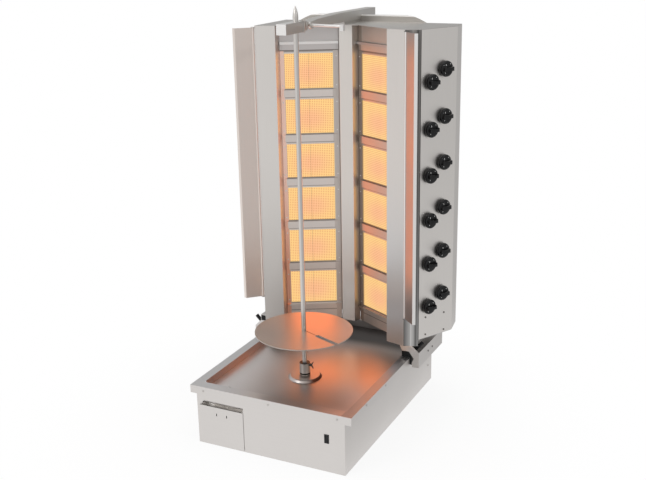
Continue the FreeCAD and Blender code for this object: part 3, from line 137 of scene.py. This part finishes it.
share = add(tree, "ShaderNodeMath", {"operation": "MULTIPLY"}, i0=shown.outputs[0], i1=fade.outputs[0])
surface = add(tree, "ShaderNodeMixShader", i0=share.outputs[0], i1=matt.outputs[0], i2=white.outputs[0])
tree.links.new(surface.outputs[0], output.inputs[0])
floor_mesh.materials.append(paper)

world = bpy.data.worlds.new("white_room")
bpy.context.scene.world = world
world.use_nodes = True
tree = world.node_tree
tree.nodes.clear()
direction = add(tree, "ShaderNodeTexCoord")
side = add(tree, "ShaderNodeSeparateXYZ", Vector=direction.outputs["Generated"])
right_tone = add(tree, "ShaderNodeMapRange", SMOOTH, Value=side.outputs["X"],
                 From_Min=0.0, From_Max=1.0, To_Min=1.0, To_Max=ROOM_RIGHT)
back_tone = add(tree, "ShaderNodeMapRange", SMOOTH, Value=side.outputs["Y"],
                From_Min=0.1, From_Max=0.9, To_Min=ROOM_FRONT, To_Max=ROOM_BACK)
tone = add(tree, "ShaderNodeMath", {"operation": "MULTIPLY"}, i0=right_tone.outputs[0], i1=back_tone.outputs[0])
path = add(tree, "ShaderNodeLightPath")
strength = add(tree, "ShaderNodeMix", {"data_type": "FLOAT"}, Factor=path.outputs["Is Camera Ray"],
               A=tone.outputs[0], B=1.0)
room = add(tree, "ShaderNodeBackground", Color=linear("#FFFFFF"), Strength=strength.outputs[0])
tree.links.new(room.outputs[0], add(tree, "ShaderNodeOutputWorld").inputs[0])


def soft_lamp(name, place, target, size, power, colour="#FFFFFF"):
    """A soft lamp that points at a spot on the machine."""
    lamp = bpy.data.lights.new(name, "AREA")
    lamp.shape = "RECTANGLE"
    lamp.size, lamp.size_y = size
    lamp.energy = power
    lamp.color = linear(colour)[:3]
    item = bpy.data.objects.new(name, lamp)
    item.location = place
    item.rotation_euler = (Vector(target) - Vector(place)).to_track_quat("-Z", "Y").to_euler()
    item.visible_camera = False
    bpy.context.scene.collection.objects.link(item)


soft_lamp("key_lamp", (-1.8, -3.4, 3.2), (0, 0, 0.6), (1.6, 1.6), 32)
soft_lamp("top_lamp", (0.6, 0.2, 3.6), (0, 0, 0.5), (2.6, 2.6), 12)
soft_lamp("glint_lamp", (3.4, -1.6, 2.6), (0.4, 0.3, 0.8), (0.16, 0.16), 8)


# Base: a case folded from satin brushed stainless steel, spot welded, open under the tray.
# The grit leaves fine straight lines along the sheet, which soften what it mirrors.
def brushed_steel(name, colour, grain, roughness=0.38):
    """Satin stainless. The grain gives the lines per metre along each axis, drawn a little coarse."""
    contrast, unevenness, depth = 0.03, 0.03, 0.06
    material, tree, output = blank_material(name)
    place = add(tree, "ShaderNodeTexCoord")
    stretch = add(tree, "ShaderNodeMapping", Vector=place.outputs["Object"], Scale=grain)
    lines = add(tree, "ShaderNodeTexNoise", Vector=stretch.outputs[0], Scale=1.0, Detail=3.0, Roughness=0.6)
    clouds = add(tree, "ShaderNodeTexNoise", Vector=place.outputs["Object"], Scale=4.0, Detail=2.0)
    tint = add(tree, "ShaderNodeMix", COLOURS, Factor=lines.outputs["Fac"])
    tint.inputs[6].default_value = [part * (1 - contrast) for part in linear(colour)[:3]] + [1]
    tint.inputs[7].default_value = [min(part * (1 + contrast), 1) for part in linear(colour)[:3]] + [1]
    gloss = add(tree, "ShaderNodeMapRange", Value=clouds.outputs["Fac"], From_Min=0.3, From_Max=0.7,
                To_Min=roughness - unevenness, To_Max=roughness + unevenness)
    relief = add(tree, "ShaderNodeBump", Strength=depth, Distance=0.0002, Height=lines.outputs["Fac"])
    steel = add(tree, "ShaderNodeBsdfPrincipled", Base_Color=tint.outputs[2], Metallic=1.0,
                Roughness=gloss.outputs[0], Normal=relief.outputs[0])
    tree.links.new(steel.outputs[0], output.inputs[0])
    return material


def where(material, axis, start, end, source="Object"):
    """A mask that rises from 0 to 1 between two places along an axis, or between two normals."""
    tree = material.node_tree
    place = add(tree, "ShaderNodeTexCoord")
    parts = add(tree, "ShaderNodeSeparateXYZ", Vector=place.outputs[source])
    return add(tree, "ShaderNodeMapRange", SMOOTH, Value=parts.outputs[axis],
               From_Min=start, From_Max=end).outputs[0]


def near(material, place, full, none):
    """A mask that is 1 around a spot and fades to 0 at a distance from it."""
    tree = material.node_tree
    here = add(tree, "ShaderNodeTexCoord")
    gap = add(tree, "ShaderNodeVectorMath", {"operation": "DISTANCE"}, i0=here.outputs["Object"], i1=place)
    return add(tree, "ShaderNodeMapRange", SMOOTH, Value=gap.outputs["Value"],
               From_Min=none, From_Max=full).outputs[0]


def lay_over(material, tones, mask, blend="MIX"):
    """Lays a colour, or the colours that a node gives, over a material's own."""
    tree = material.node_tree
    shader = next(node for node in tree.nodes if node.type == "BSDF_PRINCIPLED")
    under = shader.inputs["Base Color"].links[0].from_socket
    mixed = add(tree, "ShaderNodeMix", COLOURS | {"blend_type": blend}, i0=mask, i6=under, i7=tones)
    tree.links.new(mixed.outputs[2], shader.inputs["Base Color"])


def paint_tone(material, colour, *masks):
    """Lays a second tone over a material's own, where all the masks agree; most uses paint light, shade or
    reflections.
    """
    tree = material.node_tree
    mask = masks[0]
    for other in masks[1:]:
        mask = add(tree, "ShaderNodeMath", {"operation": "MULTIPLY"}, i0=mask, i1=other).outputs[0]
    lay_over(material, linear(colour), mask)


SHEET_GRAIN = (6, 6, 900)
dress(["base_case"], brushed_steel("brushed_stainless_case", "#D6D2CF", SHEET_GRAIN))

# Drip drawer: a flat steel front with a folded finger grip and two slits, welded to a steel bin.
# The grip's trough has painted shade, with painted light at its left end, and the bin and its guides are plain
# mill-finished sheet.
GRIP_FRONT, GRIP_BACK = -0.2462, -0.2440
GRIP_END = -0.216
drawer_steel = brushed_steel("brushed_stainless_drawer", "#D6D2CF", SHEET_GRAIN)
grip = where(drawer_steel, "Y", GRIP_FRONT, GRIP_BACK)
# Painted shade in the grip's trough.
paint_tone(drawer_steel, "#CAC6C2", grip)
# Painted light at the trough's left end, against its deeper shade.
paint_tone(drawer_steel, "#ECE9E6", grip, where(drawer_steel, "X", GRIP_END + 0.010, GRIP_END))
dress(["drawer_front"], drawer_steel)
inner_steel = brushed_steel("mill_finished_sheet", "#9A9C9C", (30, 30, 30), 0.5)
dress(["drawer_bin", "drawer_guides"], inner_steel)

# Grease tray: one pressed stainless sheet with a flat rim, a turned-down lip and a drain.
# Its well is toned darker than the rim, with painted shade under the burners and in the drain, and painted warm
# reflections of the burners' glow.
TRAY_FLOOR = 0.1705
WELL_HALF, WELL_FRONT, WELL_BACK, WELL_EDGE = 0.249, -0.215, 0.457, 0.0006
GLOW_REFLECTION_SPOT, GLOW_REFLECTION_FULL, GLOW_REFLECTION_FADE = (0.11, 0.13, TRAY_FLOOR), 0.04, 0.24
UNIT_SHADE_FRONT, UNIT_SHADE_BACK = 0.28, 0.35
tray_steel = brushed_steel("brushed_stainless_tray", "#D6D2CF", (7, 700, 700), 0.40)
inside = (where(tray_steel, "X", -WELL_HALF - WELL_EDGE, -WELL_HALF + WELL_EDGE),
          where(tray_steel, "X", WELL_HALF + WELL_EDGE, WELL_HALF - WELL_EDGE),
          where(tray_steel, "Y", WELL_FRONT - WELL_EDGE, WELL_FRONT + WELL_EDGE),
          where(tray_steel, "Y", WELL_BACK + WELL_EDGE, WELL_BACK - WELL_EDGE))
upwards = where(tray_steel, "Z", 0.5, 0.9, "Normal")
# Upward faces are toned warmer and darker, lighter toward the left and darker on the rim right of the well.
paint_tone(tray_steel, "#C8BDB7", upwards)
paint_tone(tray_steel, "#D6D6D6", upwards, where(tray_steel, "X", 0.06, -0.22))
paint_tone(tray_steel, "#A9A7A6", upwards, where(tray_steel, "X", WELL_HALF - 0.005, WELL_HALF))
# The well is toned darker than the rim.
paint_tone(tray_steel, "#C0B9B6", *inside)
# Painted shade across the back of the well, under the burner unit.
paint_tone(tray_steel, "#5A5552", where(tray_steel, "Y", UNIT_SHADE_FRONT, UNIT_SHADE_BACK), *inside)
# Lighter toward the left of the well.
paint_tone(tray_steel, "#E6E5E4", where(tray_steel, "X", -0.06, -0.24), *inside)
# Painted warm reflection of the burners' glow on the well's floor.
paint_tone(tray_steel, "#E4BC9E", near(tray_steel, GLOW_REFLECTION_SPOT, GLOW_REFLECTION_FULL, GLOW_REFLECTION_FADE), *inside)
# Painted orange reflection of the burners on the well's left wall, which faces them.
paint_tone(tray_steel, "#603626", where(tray_steel, "X", 0.3, 0.7, "Normal"), *inside)
# Painted shade in the drain, below the floor.
paint_tone(tray_steel, "#2E2A28", where(tray_steel, "Z", TRAY_FLOOR - 0.0004, TRAY_FLOOR - 0.0014), *inside)
dress(["grease_tray"], tray_steel)


# Switch: a black ABS rocker in a nylon bezel that snaps into the case.
# Both are moulded, the rocker glossy and the bezel with a fine matt grain.
def moulded_plastic(name, colour, roughness, ior=1.46):
    """Moulded plastic with a fine spark-eroded grain, drawn coarse at about 1 mm."""
    grain_per_metre, unevenness = 900.0, 0.06
    material, tree, output = blank_material(name)
    place = add(tree, "ShaderNodeTexCoord")
    grain = add(tree, "ShaderNodeTexNoise", Vector=place.outputs["Object"], Scale=grain_per_metre, Detail=2.0)
    relief = add(tree, "ShaderNodeBump", Strength=0.1, Distance=0.0002, Height=grain.outputs["Fac"])
    wear = add(tree, "ShaderNodeMapRange", Value=grain.outputs["Fac"], To_Min=roughness - unevenness,
               To_Max=roughness + unevenness)
    plastic = add(tree, "ShaderNodeBsdfPrincipled", Base_Color=linear(colour), Roughness=wear.outputs[0],
                  Normal=relief.outputs[0], IOR=ior)
    tree.links.new(plastic.outputs[0], output.inputs[0])
    return material


dress(["rocker"], moulded_plastic("moulded_black_abs", "#0C0D0F", 0.3, 1.4))
dress(["rocker_bezel", "cable_gland"], moulded_plastic("moulded_black_nylon", "#101012", 0.45, 1.4))

# Drive: a gear motor in grey enamel under the tray, on a folded steel bracket.
# The enamel is sprayed, a little uneven in its gloss.
dress(["gear_motor"], moulded_plastic("grey_motor_enamel", "#6A6D70", 0.4))

# Spindle and socket: turned from stainless bar, with a black seal ring under the socket.
# A wing screw in blackened steel clamps the spit's foot in the socket's bore.
SEAL_LOW, SEAL_HIGH, SEAL_EDGE = 0.1825, 0.187, 0.0004
SOCKET_TOP = 0.221
TURNED_GRAIN = (4, 4, 900)
socket_steel = brushed_steel("turned_stainless_socket", "#B9B5B1", TURNED_GRAIN, 0.3)
paint_tone(socket_steel, "#121212", where(socket_steel, "Z", SEAL_LOW - SEAL_EDGE, SEAL_LOW),
      where(socket_steel, "Z", SEAL_HIGH + SEAL_EDGE, SEAL_HIGH))
paint_tone(socket_steel, "#34302D", where(socket_steel, "Z", SOCKET_TOP - 0.0012, SOCKET_TOP - 0.0006))
dress(["drive_spindle"], socket_steel)
dress(["socket_screw"], brushed_steel("blackened_steel", "#5C5753", (40, 40, 40), 0.35))

# Spit: a turned stainless bar with a bullet point, and a disc cut from sheet that carries the meat.
# A lathe leaves rings too fine to see, so the bar mirrors in soft upright streaks.
DOWNWARDS = ("Z", -0.4, -0.7, "Normal")
dress(["spit_shaft"], brushed_steel("turned_stainless_bar", "#CFCBC7", TURNED_GRAIN, 0.3))
disc_steel = brushed_steel("stainless_disc_painted_glow", "#AFA7A0", (20, 20, 20))
# Painted warm reflection of the burners on the disc's back half.
paint_tone(disc_steel, "#C4AEA0", where(disc_steel, "Y", -0.08, 0.08))
# Painted shade on the disc's underside.
paint_tone(disc_steel, "#3C3937", where(disc_steel, *DOWNWARDS))
dress(["spit_disc"], disc_steel)

# Burner walls: two stainless frames in a V, with spot-welded rails between the burners.
# The tiles' glow is mirrored in the steel, and a painted warm reflection adds to it: over all the right wall
# and on the left wall's outer stile, most low down. Painted shade darkens the corner where the two walls meet,
# the narrow folds above and below each rail and a line under the header's ledge, and the ledge carries a
# painted highlight.
WALL_TURN = math.radians(28.5)
INNER_AT, INNER_BACK = 0.052, 0.356
TILE_TOP, TILE_PITCH, TILE_HIGH, TILE_WIDE = 1.174, 0.1515, 0.1155, 0.161
TILES_END = INNER_AT + TILE_WIDE * math.cos(WALL_TURN)
RAIL_FOLD_SHADES = ((0.0, 1.0), (0.760, 0.55), (0.788, 1.0), (0.944, 0.55), (0.966, 1.0))
HEAD_SHADE, HEAD_LEDGE_HIGHLIGHT, HEAD_EDGE = (0.0078, 0.0118), (0.0300, 0.0392), 0.0006


def share_of_row(tree, height):
    """How far a height lies down its own row of burners, from 0 to 1."""
    down = add(tree, "ShaderNodeMath", {"operation": "SUBTRACT"}, i0=TILE_TOP, i1=height)
    row = add(tree, "ShaderNodeMath", {"operation": "DIVIDE"}, i0=down.outputs[0], i1=TILE_PITCH)
    return add(tree, "ShaderNodeMath", {"operation": "FRACT"}, i0=row.outputs[0]).outputs[0]


def shade_bands(material, way, bands, mask=1.0, blending="LINEAR"):
    """Darkens a material in bands. Each has its start along the way, and its share of the light."""
    shades = add(material.node_tree, "ShaderNodeValToRGB", Fac=way)
    shades.color_ramp.interpolation = blending
    while len(shades.color_ramp.elements) < len(bands):
        shades.color_ramp.elements.new(1.0)
    for element, (start, share) in zip(shades.color_ramp.elements, bands):
        element.position = start
        element.color = (share, share, share, 1)
    lay_over(material, shades.outputs["Color"], mask, "MULTIPLY")


def wall_steel(name, colour):
    """The steel of a burner wall, with painted shade on the folds of its rails."""
    material = brushed_steel(name, colour, (300, 300, 300), 0.4)
    tree = material.node_tree
    place = add(tree, "ShaderNodeTexCoord")
    parts = add(tree, "ShaderNodeSeparateXYZ", Vector=place.outputs["Object"])
    shade_bands(material, share_of_row(tree, parts.outputs["Z"]), RAIL_FOLD_SHADES, blending="CONSTANT")
    return material


left_wall = wall_steel("brushed_stainless_wall_left", "#E2DDD8")
outer_stile = where(left_wall, "X", -TILES_END, -TILES_END - 0.002)
# Painted warm reflection of the glow on the left wall's outer stile.
paint_tone(left_wall, "#FFDECF", outer_stile)
# Painted shade in the inner corner.
paint_tone(left_wall, "#CEC6C0", where(left_wall, "X", -INNER_AT - 0.001, -INNER_AT + 0.001))
# The header above the tiles is toned darker.
paint_tone(left_wall, "#CFCBC9", where(left_wall, "Z", TILE_TOP + 0.008, TILE_TOP + 0.012))
# The right wall is toned warm and darker as a painted reflection of the left wall's glow.
right_wall = wall_steel("brushed_stainless_wall_right", "#C6BDB5")
# Painted shade in the inner corner.
paint_tone(right_wall, "#A8998F", where(right_wall, "X", INNER_AT + 0.001, INNER_AT - 0.001))
# Painted shade under the header's ledge, and a painted highlight on the ledge.
for wall, ledge_highlight_tone in ((left_wall, "#F2F0EE"), (right_wall, "#BEB8B5")):
    for (band_low, band_high), tone in ((HEAD_SHADE, "#8D8782"), (HEAD_LEDGE_HIGHLIGHT, ledge_highlight_tone)):
        paint_tone(wall, tone, where(wall, "Z", TILE_TOP + band_low, TILE_TOP + band_low + HEAD_EDGE),
              where(wall, "Z", TILE_TOP + band_high, TILE_TOP + band_high - HEAD_EDGE))
# More painted glow on the outer stile, low down.
paint_tone(left_wall, "#F2B89E", outer_stile, where(left_wall, "Z", 0.9, 0.4))
dress(["burner_wall_left"], left_wall)
dress(["burner_wall_right"], right_wall)

# Burner tiles: pressed ceramic with rows of small holes, at red heat, two in each burner.
# The gas burns in the holes, so each tile glows yellow at its rim and redder in its middle.
# The holes are drawn wider apart than real ones, so that they show.
HOLE_PITCH = 0.006
MIDDLE_DOWN = 1.15
glow, tree, output = blank_material("glowing_perforated_ceramic")
place = add(tree, "ShaderNodeTexCoord")
parts = add(tree, "ShaderNodeSeparateXYZ", Vector=place.outputs["Object"])
sideways = add(tree, "ShaderNodeMath", {"operation": "ABSOLUTE"}, i0=parts.outputs["X"])
along = add(tree, "ShaderNodeMath", {"operation": "SUBTRACT"}, i0=sideways.outputs[0], i1=INNER_AT)
along = add(tree, "ShaderNodeMath", {"operation": "DIVIDE"}, i0=along.outputs[0], i1=math.cos(WALL_TURN))
holes_at = add(tree, "ShaderNodeCombineXYZ", X=along.outputs[0], Y=parts.outputs["Z"])
holes = add(tree, "ShaderNodeTexVoronoi", {"voronoi_dimensions": "2D"}, Vector=holes_at.outputs[0],
            Scale=1 / HOLE_PITCH, Randomness=0.0)
hole = add(tree, "ShaderNodeMapRange", Value=holes.outputs["Distance"], From_Min=0.20, From_Max=0.38)
fall = add(tree, "ShaderNodeMath", {"operation": "MULTIPLY_ADD"}, i0=share_of_row(tree, parts.outputs["Z"]),
           i1=TILE_PITCH / TILE_HIGH * 2, i2=-MIDDLE_DOWN)
spread = add(tree, "ShaderNodeMath", {"operation": "MULTIPLY_ADD"}, i0=along.outputs[0],
             i1=2 / TILE_WIDE, i2=-1.0)
from_middle = add(tree, "ShaderNodeCombineXYZ", X=fall.outputs[0], Y=spread.outputs[0])
distance = add(tree, "ShaderNodeVectorMath", {"operation": "LENGTH"}, i0=from_middle.outputs[0])
heat = add(tree, "ShaderNodeMapRange", SMOOTH, Value=distance.outputs["Value"], From_Min=0.1, From_Max=1.1)
colour = add(tree, "ShaderNodeMix", COLOURS, i0=heat.outputs[0], i6=linear("#FCC193"), i7=linear("#FFD68C"))
dotted = add(tree, "ShaderNodeMix", COLOURS, i0=hole.outputs[0], i6=linear("#DB9663"), i7=colour.outputs[2])
ceramic = add(tree, "ShaderNodeBsdfPrincipled", Base_Color=linear("#3A2A20"), Roughness=0.9,
              Emission_Color=dotted.outputs[2], Emission_Strength=1.0)
tree.links.new(ceramic.outputs[0], output.inputs[0])
dress(["burner_tiles"], glow)

# The burners' heat: warm light from each wall of tiles onto the disc, the tray and the flanges.
# Each wall has one long lamp, just in front of its tiles.
GLOW_HEIGHT, GLOW_SIZE, GLOW_POWER, GLOW_GAP = 0.74, (0.15, 0.86), 0.5, 0.012
for word, sign in (("left", -1), ("right", 1)):
    middle = TILE_WIDE / 2
    spot = Vector((sign * (INNER_AT + middle * math.cos(WALL_TURN)),
                   INNER_BACK - middle * math.sin(WALL_TURN), GLOW_HEIGHT))
    out = Vector((-sign * math.sin(WALL_TURN), -math.cos(WALL_TURN), 0))
    start = spot + out * GLOW_GAP
    soft_lamp("glow_" + word, start, start + out, GLOW_SIZE, GLOW_POWER, "#FF6A38")

# Burner bodies, taps, pipes and the gas inlet: pressed steel boxes, and turned brass behind the panel.
# Brass fresh from the lathe is bright and yellow, with rings too fine to see.
dress(["burner_boxes"], inner_steel)
brass = brushed_steel("turned_brass", "#B5925A", (60, 60, 60), 0.35)
dress(["gas_taps", "gas_manifold"] + [f"tap_stem_{number}" for number in range(1, 13)], brass)

# Cabinets: the folded casings behind the burner walls, with a bright flange beside the tiles.
# Satin stainless with an upright grain. Their undersides carry painted shade from the dark gap over the tray,
# and the strip of the right casing between flange and knobs has painted upright bands in place of its
# reflection of its neighbours.
UPRIGHT_GRAIN = (700, 700, 5)
PAINTED_UNDERSIDE_SHADE = "#4A4643"
STRIP_START, STRIP_END, STRIP_BACK = 0.2605, 0.3050, 0.26
STRIP_PAINTED_REFLECTION = ((0.0, 1.0), (0.01, 0.16), (0.10, 0.24), (0.28, 0.40), (0.47, 0.58), (0.49, 0.85), (0.54, 0.68),
               (0.70, 0.52), (0.80, 0.22), (0.88, 0.18), (0.90, 0.35), (1.0, 0.35))
left_casing = brushed_steel("brushed_stainless_casing_left", "#D6D2CE", UPRIGHT_GRAIN)
# Darker toward the bottom.
paint_tone(left_casing, "#BEBAB6", where(left_casing, "Z", 0.9, 0.3))
paint_tone(left_casing, PAINTED_UNDERSIDE_SHADE, where(left_casing, *DOWNWARDS))
dress(["cabinet_left"], left_casing)
right_casing = brushed_steel("brushed_stainless_casing_right", "#D6D2CE", UPRIGHT_GRAIN)
in_front = where(right_casing, "Y", STRIP_BACK + 0.002, STRIP_BACK)
lower_down = where(right_casing, "Z", 0.9, 0.3)
# Darker and bluer toward the bottom.
paint_tone(right_casing, "#C3C5C7", lower_down)
# Painted light on the strip's lower part, on its front.
paint_tone(right_casing, "#F4F2F0", lower_down, where(right_casing, "X", STRIP_START - 0.001, STRIP_START), in_front)
tree = right_casing.node_tree
place = add(tree, "ShaderNodeTexCoord")
parts = add(tree, "ShaderNodeSeparateXYZ", Vector=place.outputs["Object"])
over_strip = add(tree, "ShaderNodeMapRange", Value=parts.outputs["X"], From_Min=STRIP_START, From_Max=STRIP_END)
# Painted reflection bands across the strip.
shade_bands(right_casing, over_strip.outputs[0], STRIP_PAINTED_REFLECTION, in_front)
paint_tone(right_casing, PAINTED_UNDERSIDE_SHADE, where(right_casing, *DOWNWARDS))
dress(["cabinet_right"], right_casing)
post_steel = brushed_steel("brushed_stainless_post", "#D2CEC9", UPRIGHT_GRAIN)
# Darker toward the bottom.
paint_tone(post_steel, "#BAB6B2", where(post_steel, "Z", 0.8, 0.3))
dress(["centre_post"], post_steel)

# Wings: folded side shields of the same sheet, each on two pins, that mirror the burners' glow.
# Both are toned warm, the right one darker, and the right one's front-facing faces have painted light.
dress(["wing_left"], brushed_steel("warm_toned_stainless_wing_left", "#E2D8D1", UPRIGHT_GRAIN))
right_wing = brushed_steel("dark_toned_stainless_wing_right", "#BAB0AC", UPRIGHT_GRAIN)
# Painted light on the faces that turn to the front.
paint_tone(right_wing, "#F0EEEC", where(right_wing, "Y", -0.82, -0.92, "Normal"))
dress(["wing_right"], right_wing)

# Control side: a folded satin sheet, screwed to the cabinet, with a hole for each tap.
# Its grain runs upright, and it is a little duller than the casings.
dress(["control_panel"], brushed_steel("brushed_stainless_panel", "#E8E4E0", UPRIGHT_GRAIN, 0.42))

# Knobs: glossy black ABS mouldings, each on its tap's stem, with a thick skirt and a bar to grip.
# A nub on the skirt's edge points to the setting. The edges are rounded, and the glints on the face are
# painted.
outward = Vector((math.cos(WALL_TURN), -math.sin(WALL_TURN), 0))
backward = Vector((math.sin(WALL_TURN), math.cos(WALL_TURN), 0))
STEM_TO_KNOB = 0.006
SKIRT_RAD, SKIRT_THICK, KNOB_DEEP, NUB_REACH = 0.025, 0.010, 0.028, 0.0265
RING_STEPS, SHARP_FROM = 48, math.radians(32)
knob_profile = [(0.0, 0.0045), (0.0, 0.0232), (0.0008, 0.0244), (0.0020, SKIRT_RAD), (0.0070, SKIRT_RAD),
                (0.0083, 0.0247), (SKIRT_THICK, 0.0240), (0.0120, 0.0217), (0.0135, 0.0195), (0.0140, 0.0165),
                (0.0142, 0.0080)]
knob_mesh = bpy.data.meshes.new("knob")
shape = bmesh.new()


def ring_at(centre, half_x, half_y, lift, steps):
    """A round or oval row of points on the knob's shape, at one height."""
    angles = [2 * math.pi * step / steps for step in range(steps)]
    return [shape.verts.new((centre[0] + half_x * math.cos(angle), centre[1] + half_y * math.sin(angle), lift))
            for angle in angles]


def join_rows(first, second):
    """A band of faces between two closed rows of points."""
    nexts = [(step, (step + 1) % len(first)) for step in range(len(first))]
    return [shape.faces.new((first[step], first[after], second[after], second[step])) for step, after in nexts]


rings = [ring_at((0, 0), radius, radius, lift, RING_STEPS) for lift, radius in knob_profile]
for inner, outer in zip(rings, rings[1:]):
    join_rows(inner, outer)
shape.faces.new(list(reversed(rings[0])))
shape.faces.new(rings[-1])

# The bar is a row of cross-sections, narrower at the top and lower at both ends.
BAR_FOOT, BAR_EDGE = 0.0125, 0.0020
bar_sections = [(-0.0205, 0.0036, 0.0155), (-0.0190, 0.0056, 0.0205), (-0.0162, 0.0066, 0.0240),
                (-0.0085, 0.0062, 0.0256), (0.0, 0.0058, KNOB_DEEP), (0.0085, 0.0062, 0.0256),
                (0.0162, 0.0066, 0.0240), (0.0190, 0.0056, 0.0205), (0.0205, 0.0036, 0.0155)]
sections = []
for reach, half, top in bar_sections:
    edge = min(BAR_EDGE, (top - BAR_FOOT) * 0.4)
    outline = [(-half - 0.0008, BAR_FOOT), (-half, top - edge), (-half + edge * 0.3, top - edge * 0.3),
               (-half + edge, top), (half - edge, top), (half - edge * 0.3, top - edge * 0.3),
               (half, top - edge), (half + 0.0008, BAR_FOOT)]
    sections.append([shape.verts.new((reach, side, lift)) for side, lift in outline])
for first, second in zip(sections, sections[1:]):
    join_rows(first, second)
shape.faces.new(sections[0])
shape.faces.new(list(reversed(sections[-1])))

# The nub is a small wedge that rises out of the skirt.
NUB_ROOT, NUB_FOOT = 0.0212, 0.0018
nub_low = [(NUB_ROOT, -0.0066, NUB_FOOT), (NUB_REACH, -0.0014, NUB_FOOT), (NUB_REACH, 0.0014, NUB_FOOT),
           (NUB_ROOT, 0.0066, NUB_FOOT)]
nub_top = [(NUB_ROOT, -0.0054, 0.0112), (NUB_REACH - 0.0008, -0.0008, 0.0092),
           (NUB_REACH - 0.0008, 0.0008, 0.0092), (NUB_ROOT, 0.0054, 0.0112)]
low_row = [shape.verts.new(point) for point in nub_low]
top_row = [shape.verts.new(point) for point in nub_top]
join_rows(low_row, top_row)
shape.faces.new(list(reversed(low_row)))
shape.faces.new(top_row)
for face in shape.faces:
    face.smooth = True

# Three pale raised marks on the face, a bar and two dots, are painted glints.
GLINT_LOW, GLINT_HIGH, GLINT_STEPS = 0.0130, 0.0146, 10
knob_glints = [((-0.0090, 0.0124), 0.0010, 0.0032), ((0.0085, 0.0155), 0.0012, 0.0014),
              ((-0.0120, -0.0118), 0.0013, 0.0014)]
for centre, half_x, half_y in knob_glints:
    low_ring, high_ring = (ring_at(centre, half_x, half_y, lift, GLINT_STEPS) for lift in (GLINT_LOW, GLINT_HIGH))
    caps = [shape.faces.new(ring) for ring in (list(reversed(low_ring)), high_ring)]
    for face in join_rows(low_ring, high_ring) + caps:
        face.material_index = 1
bmesh.ops.recalc_face_normals(shape, faces=shape.faces)
shape.to_mesh(knob_mesh)
shape.free()
knob_mesh.set_sharp_from_angle(angle=SHARP_FROM)
knob_mesh.materials.append(moulded_plastic("moulded_black_abs_knob", "#0B0B0D", 0.13, 1.38))
knob_mesh.materials.append(moulded_plastic("pale_painted_glint", "#D2D2D0", 0.5))
for number in range(1, 13):
    stem_low, stem_high = (Vector(corner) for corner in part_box(f"tap_stem_{number}"))
    seat = (stem_low + stem_high) / 2 + outward * STEM_TO_KNOB
    knob = bpy.data.objects.new(f"knob_{number}_moulding", knob_mesh.copy())
    turned = Matrix((backward, Vector((0, 0, 1)), outward)).transposed().to_4x4()
    knob.data.transform(Matrix.Translation(seat) @ turned)
    bpy.context.scene.collection.objects.link(knob)
    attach(knob, f"knob_{number}_body")
    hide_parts(f"knob_{number}")

# Top cover: one folded sheet over both cabinets, with the heat crest upright along its back.
# It is toned darker than the casings, with painted shade on the crest's face and on the cover's underside,
# and a painted highlight along the crest's folded lip.
CREST_FRONT, COVER_TOP, CREST_TOP = 0.4285, 1.270, 1.292
cover_steel = brushed_steel("brushed_stainless_cover", "#C4C1BD", (6, 700, 700))
# Painted shade on the crest's face.
paint_tone(cover_steel, "#A9A5A0", where(cover_steel, "Y", CREST_FRONT - 0.0004, CREST_FRONT),
      where(cover_steel, "Z", COVER_TOP + 0.0002, COVER_TOP + 0.001))
# Painted highlight along the crest's lip.
paint_tone(cover_steel, "#F4F3F1", where(cover_steel, "Z", CREST_TOP - 0.0040, CREST_TOP - 0.0034))
# Painted shade on the underside.
paint_tone(cover_steel, PAINTED_UNDERSIDE_SHADE, where(cover_steel, *DOWNWARDS))
dress(["top_cover"], cover_steel)

# Top arm: a stainless channel that slides on its guide, with a machined block for the spit's point.
# The block is bright from the mill, with painted shade on its faces that turn to the right; the channel is
# satin with its grain lengthwise.
dress(["top_arm"], brushed_steel("brushed_stainless_arm", "#D2CFCB", (6, 6, 700), 0.42))
block_steel = brushed_steel("milled_stainless_block", "#E8E6E4", (40, 40, 900), 0.36)
# Painted shade on the block's right-facing sides.
paint_tone(block_steel, "#C0BDBA", where(block_steel, "X", 0.3, 0.7, "Normal"))
dress(["bearing_block"], block_steel)
dress(["clamp_handle"], brushed_steel("turned_stainless_handle", "#EAE8E6", (900, 4, 4), 0.4))

# Carriages: folded rails that hook around the tray's lip, on black nylon glide pads.
# A lock lever with a slanted nylon grip clamps each of them.
carriage_steel = brushed_steel("brushed_stainless_carriage", "#CFCBC8", SHEET_GRAIN)
# Painted shade on the carriages' undersides.
paint_tone(carriage_steel, PAINTED_UNDERSIDE_SHADE, where(carriage_steel, *DOWNWARDS))
dress(["carriage_left", "carriage_right"], carriage_steel)
glide_nylon = moulded_plastic("moulded_nylon_glide", "#0C0C0E", 0.5, 1.35)
dress(["glide_pads", "lock_lever_left", "lock_lever_right"], glide_nylon)

# Screws: stainless pan heads along the tray's lip, and darker heads on the panel and carriages.
# They are turned, with a driver's recess too small to show.
SCREW_GRAIN, PANEL_FROM = (60, 60, 60), 0.262
dress(["base_screws"], brushed_steel("stainless_screw_heads", "#C4C0BC", SCREW_GRAIN, 0.35))
dark_toned_screws = brushed_steel("dark_toned_screw_heads", "#75706C", SCREW_GRAIN, 0.35)
# The heads near the burner walls are toned light.
paint_tone(dark_toned_screws, "#E4E1DE", where(dark_toned_screws, "X", PANEL_FROM, PANEL_FROM - 0.004))
dress(["case_screws"], dark_toned_screws)
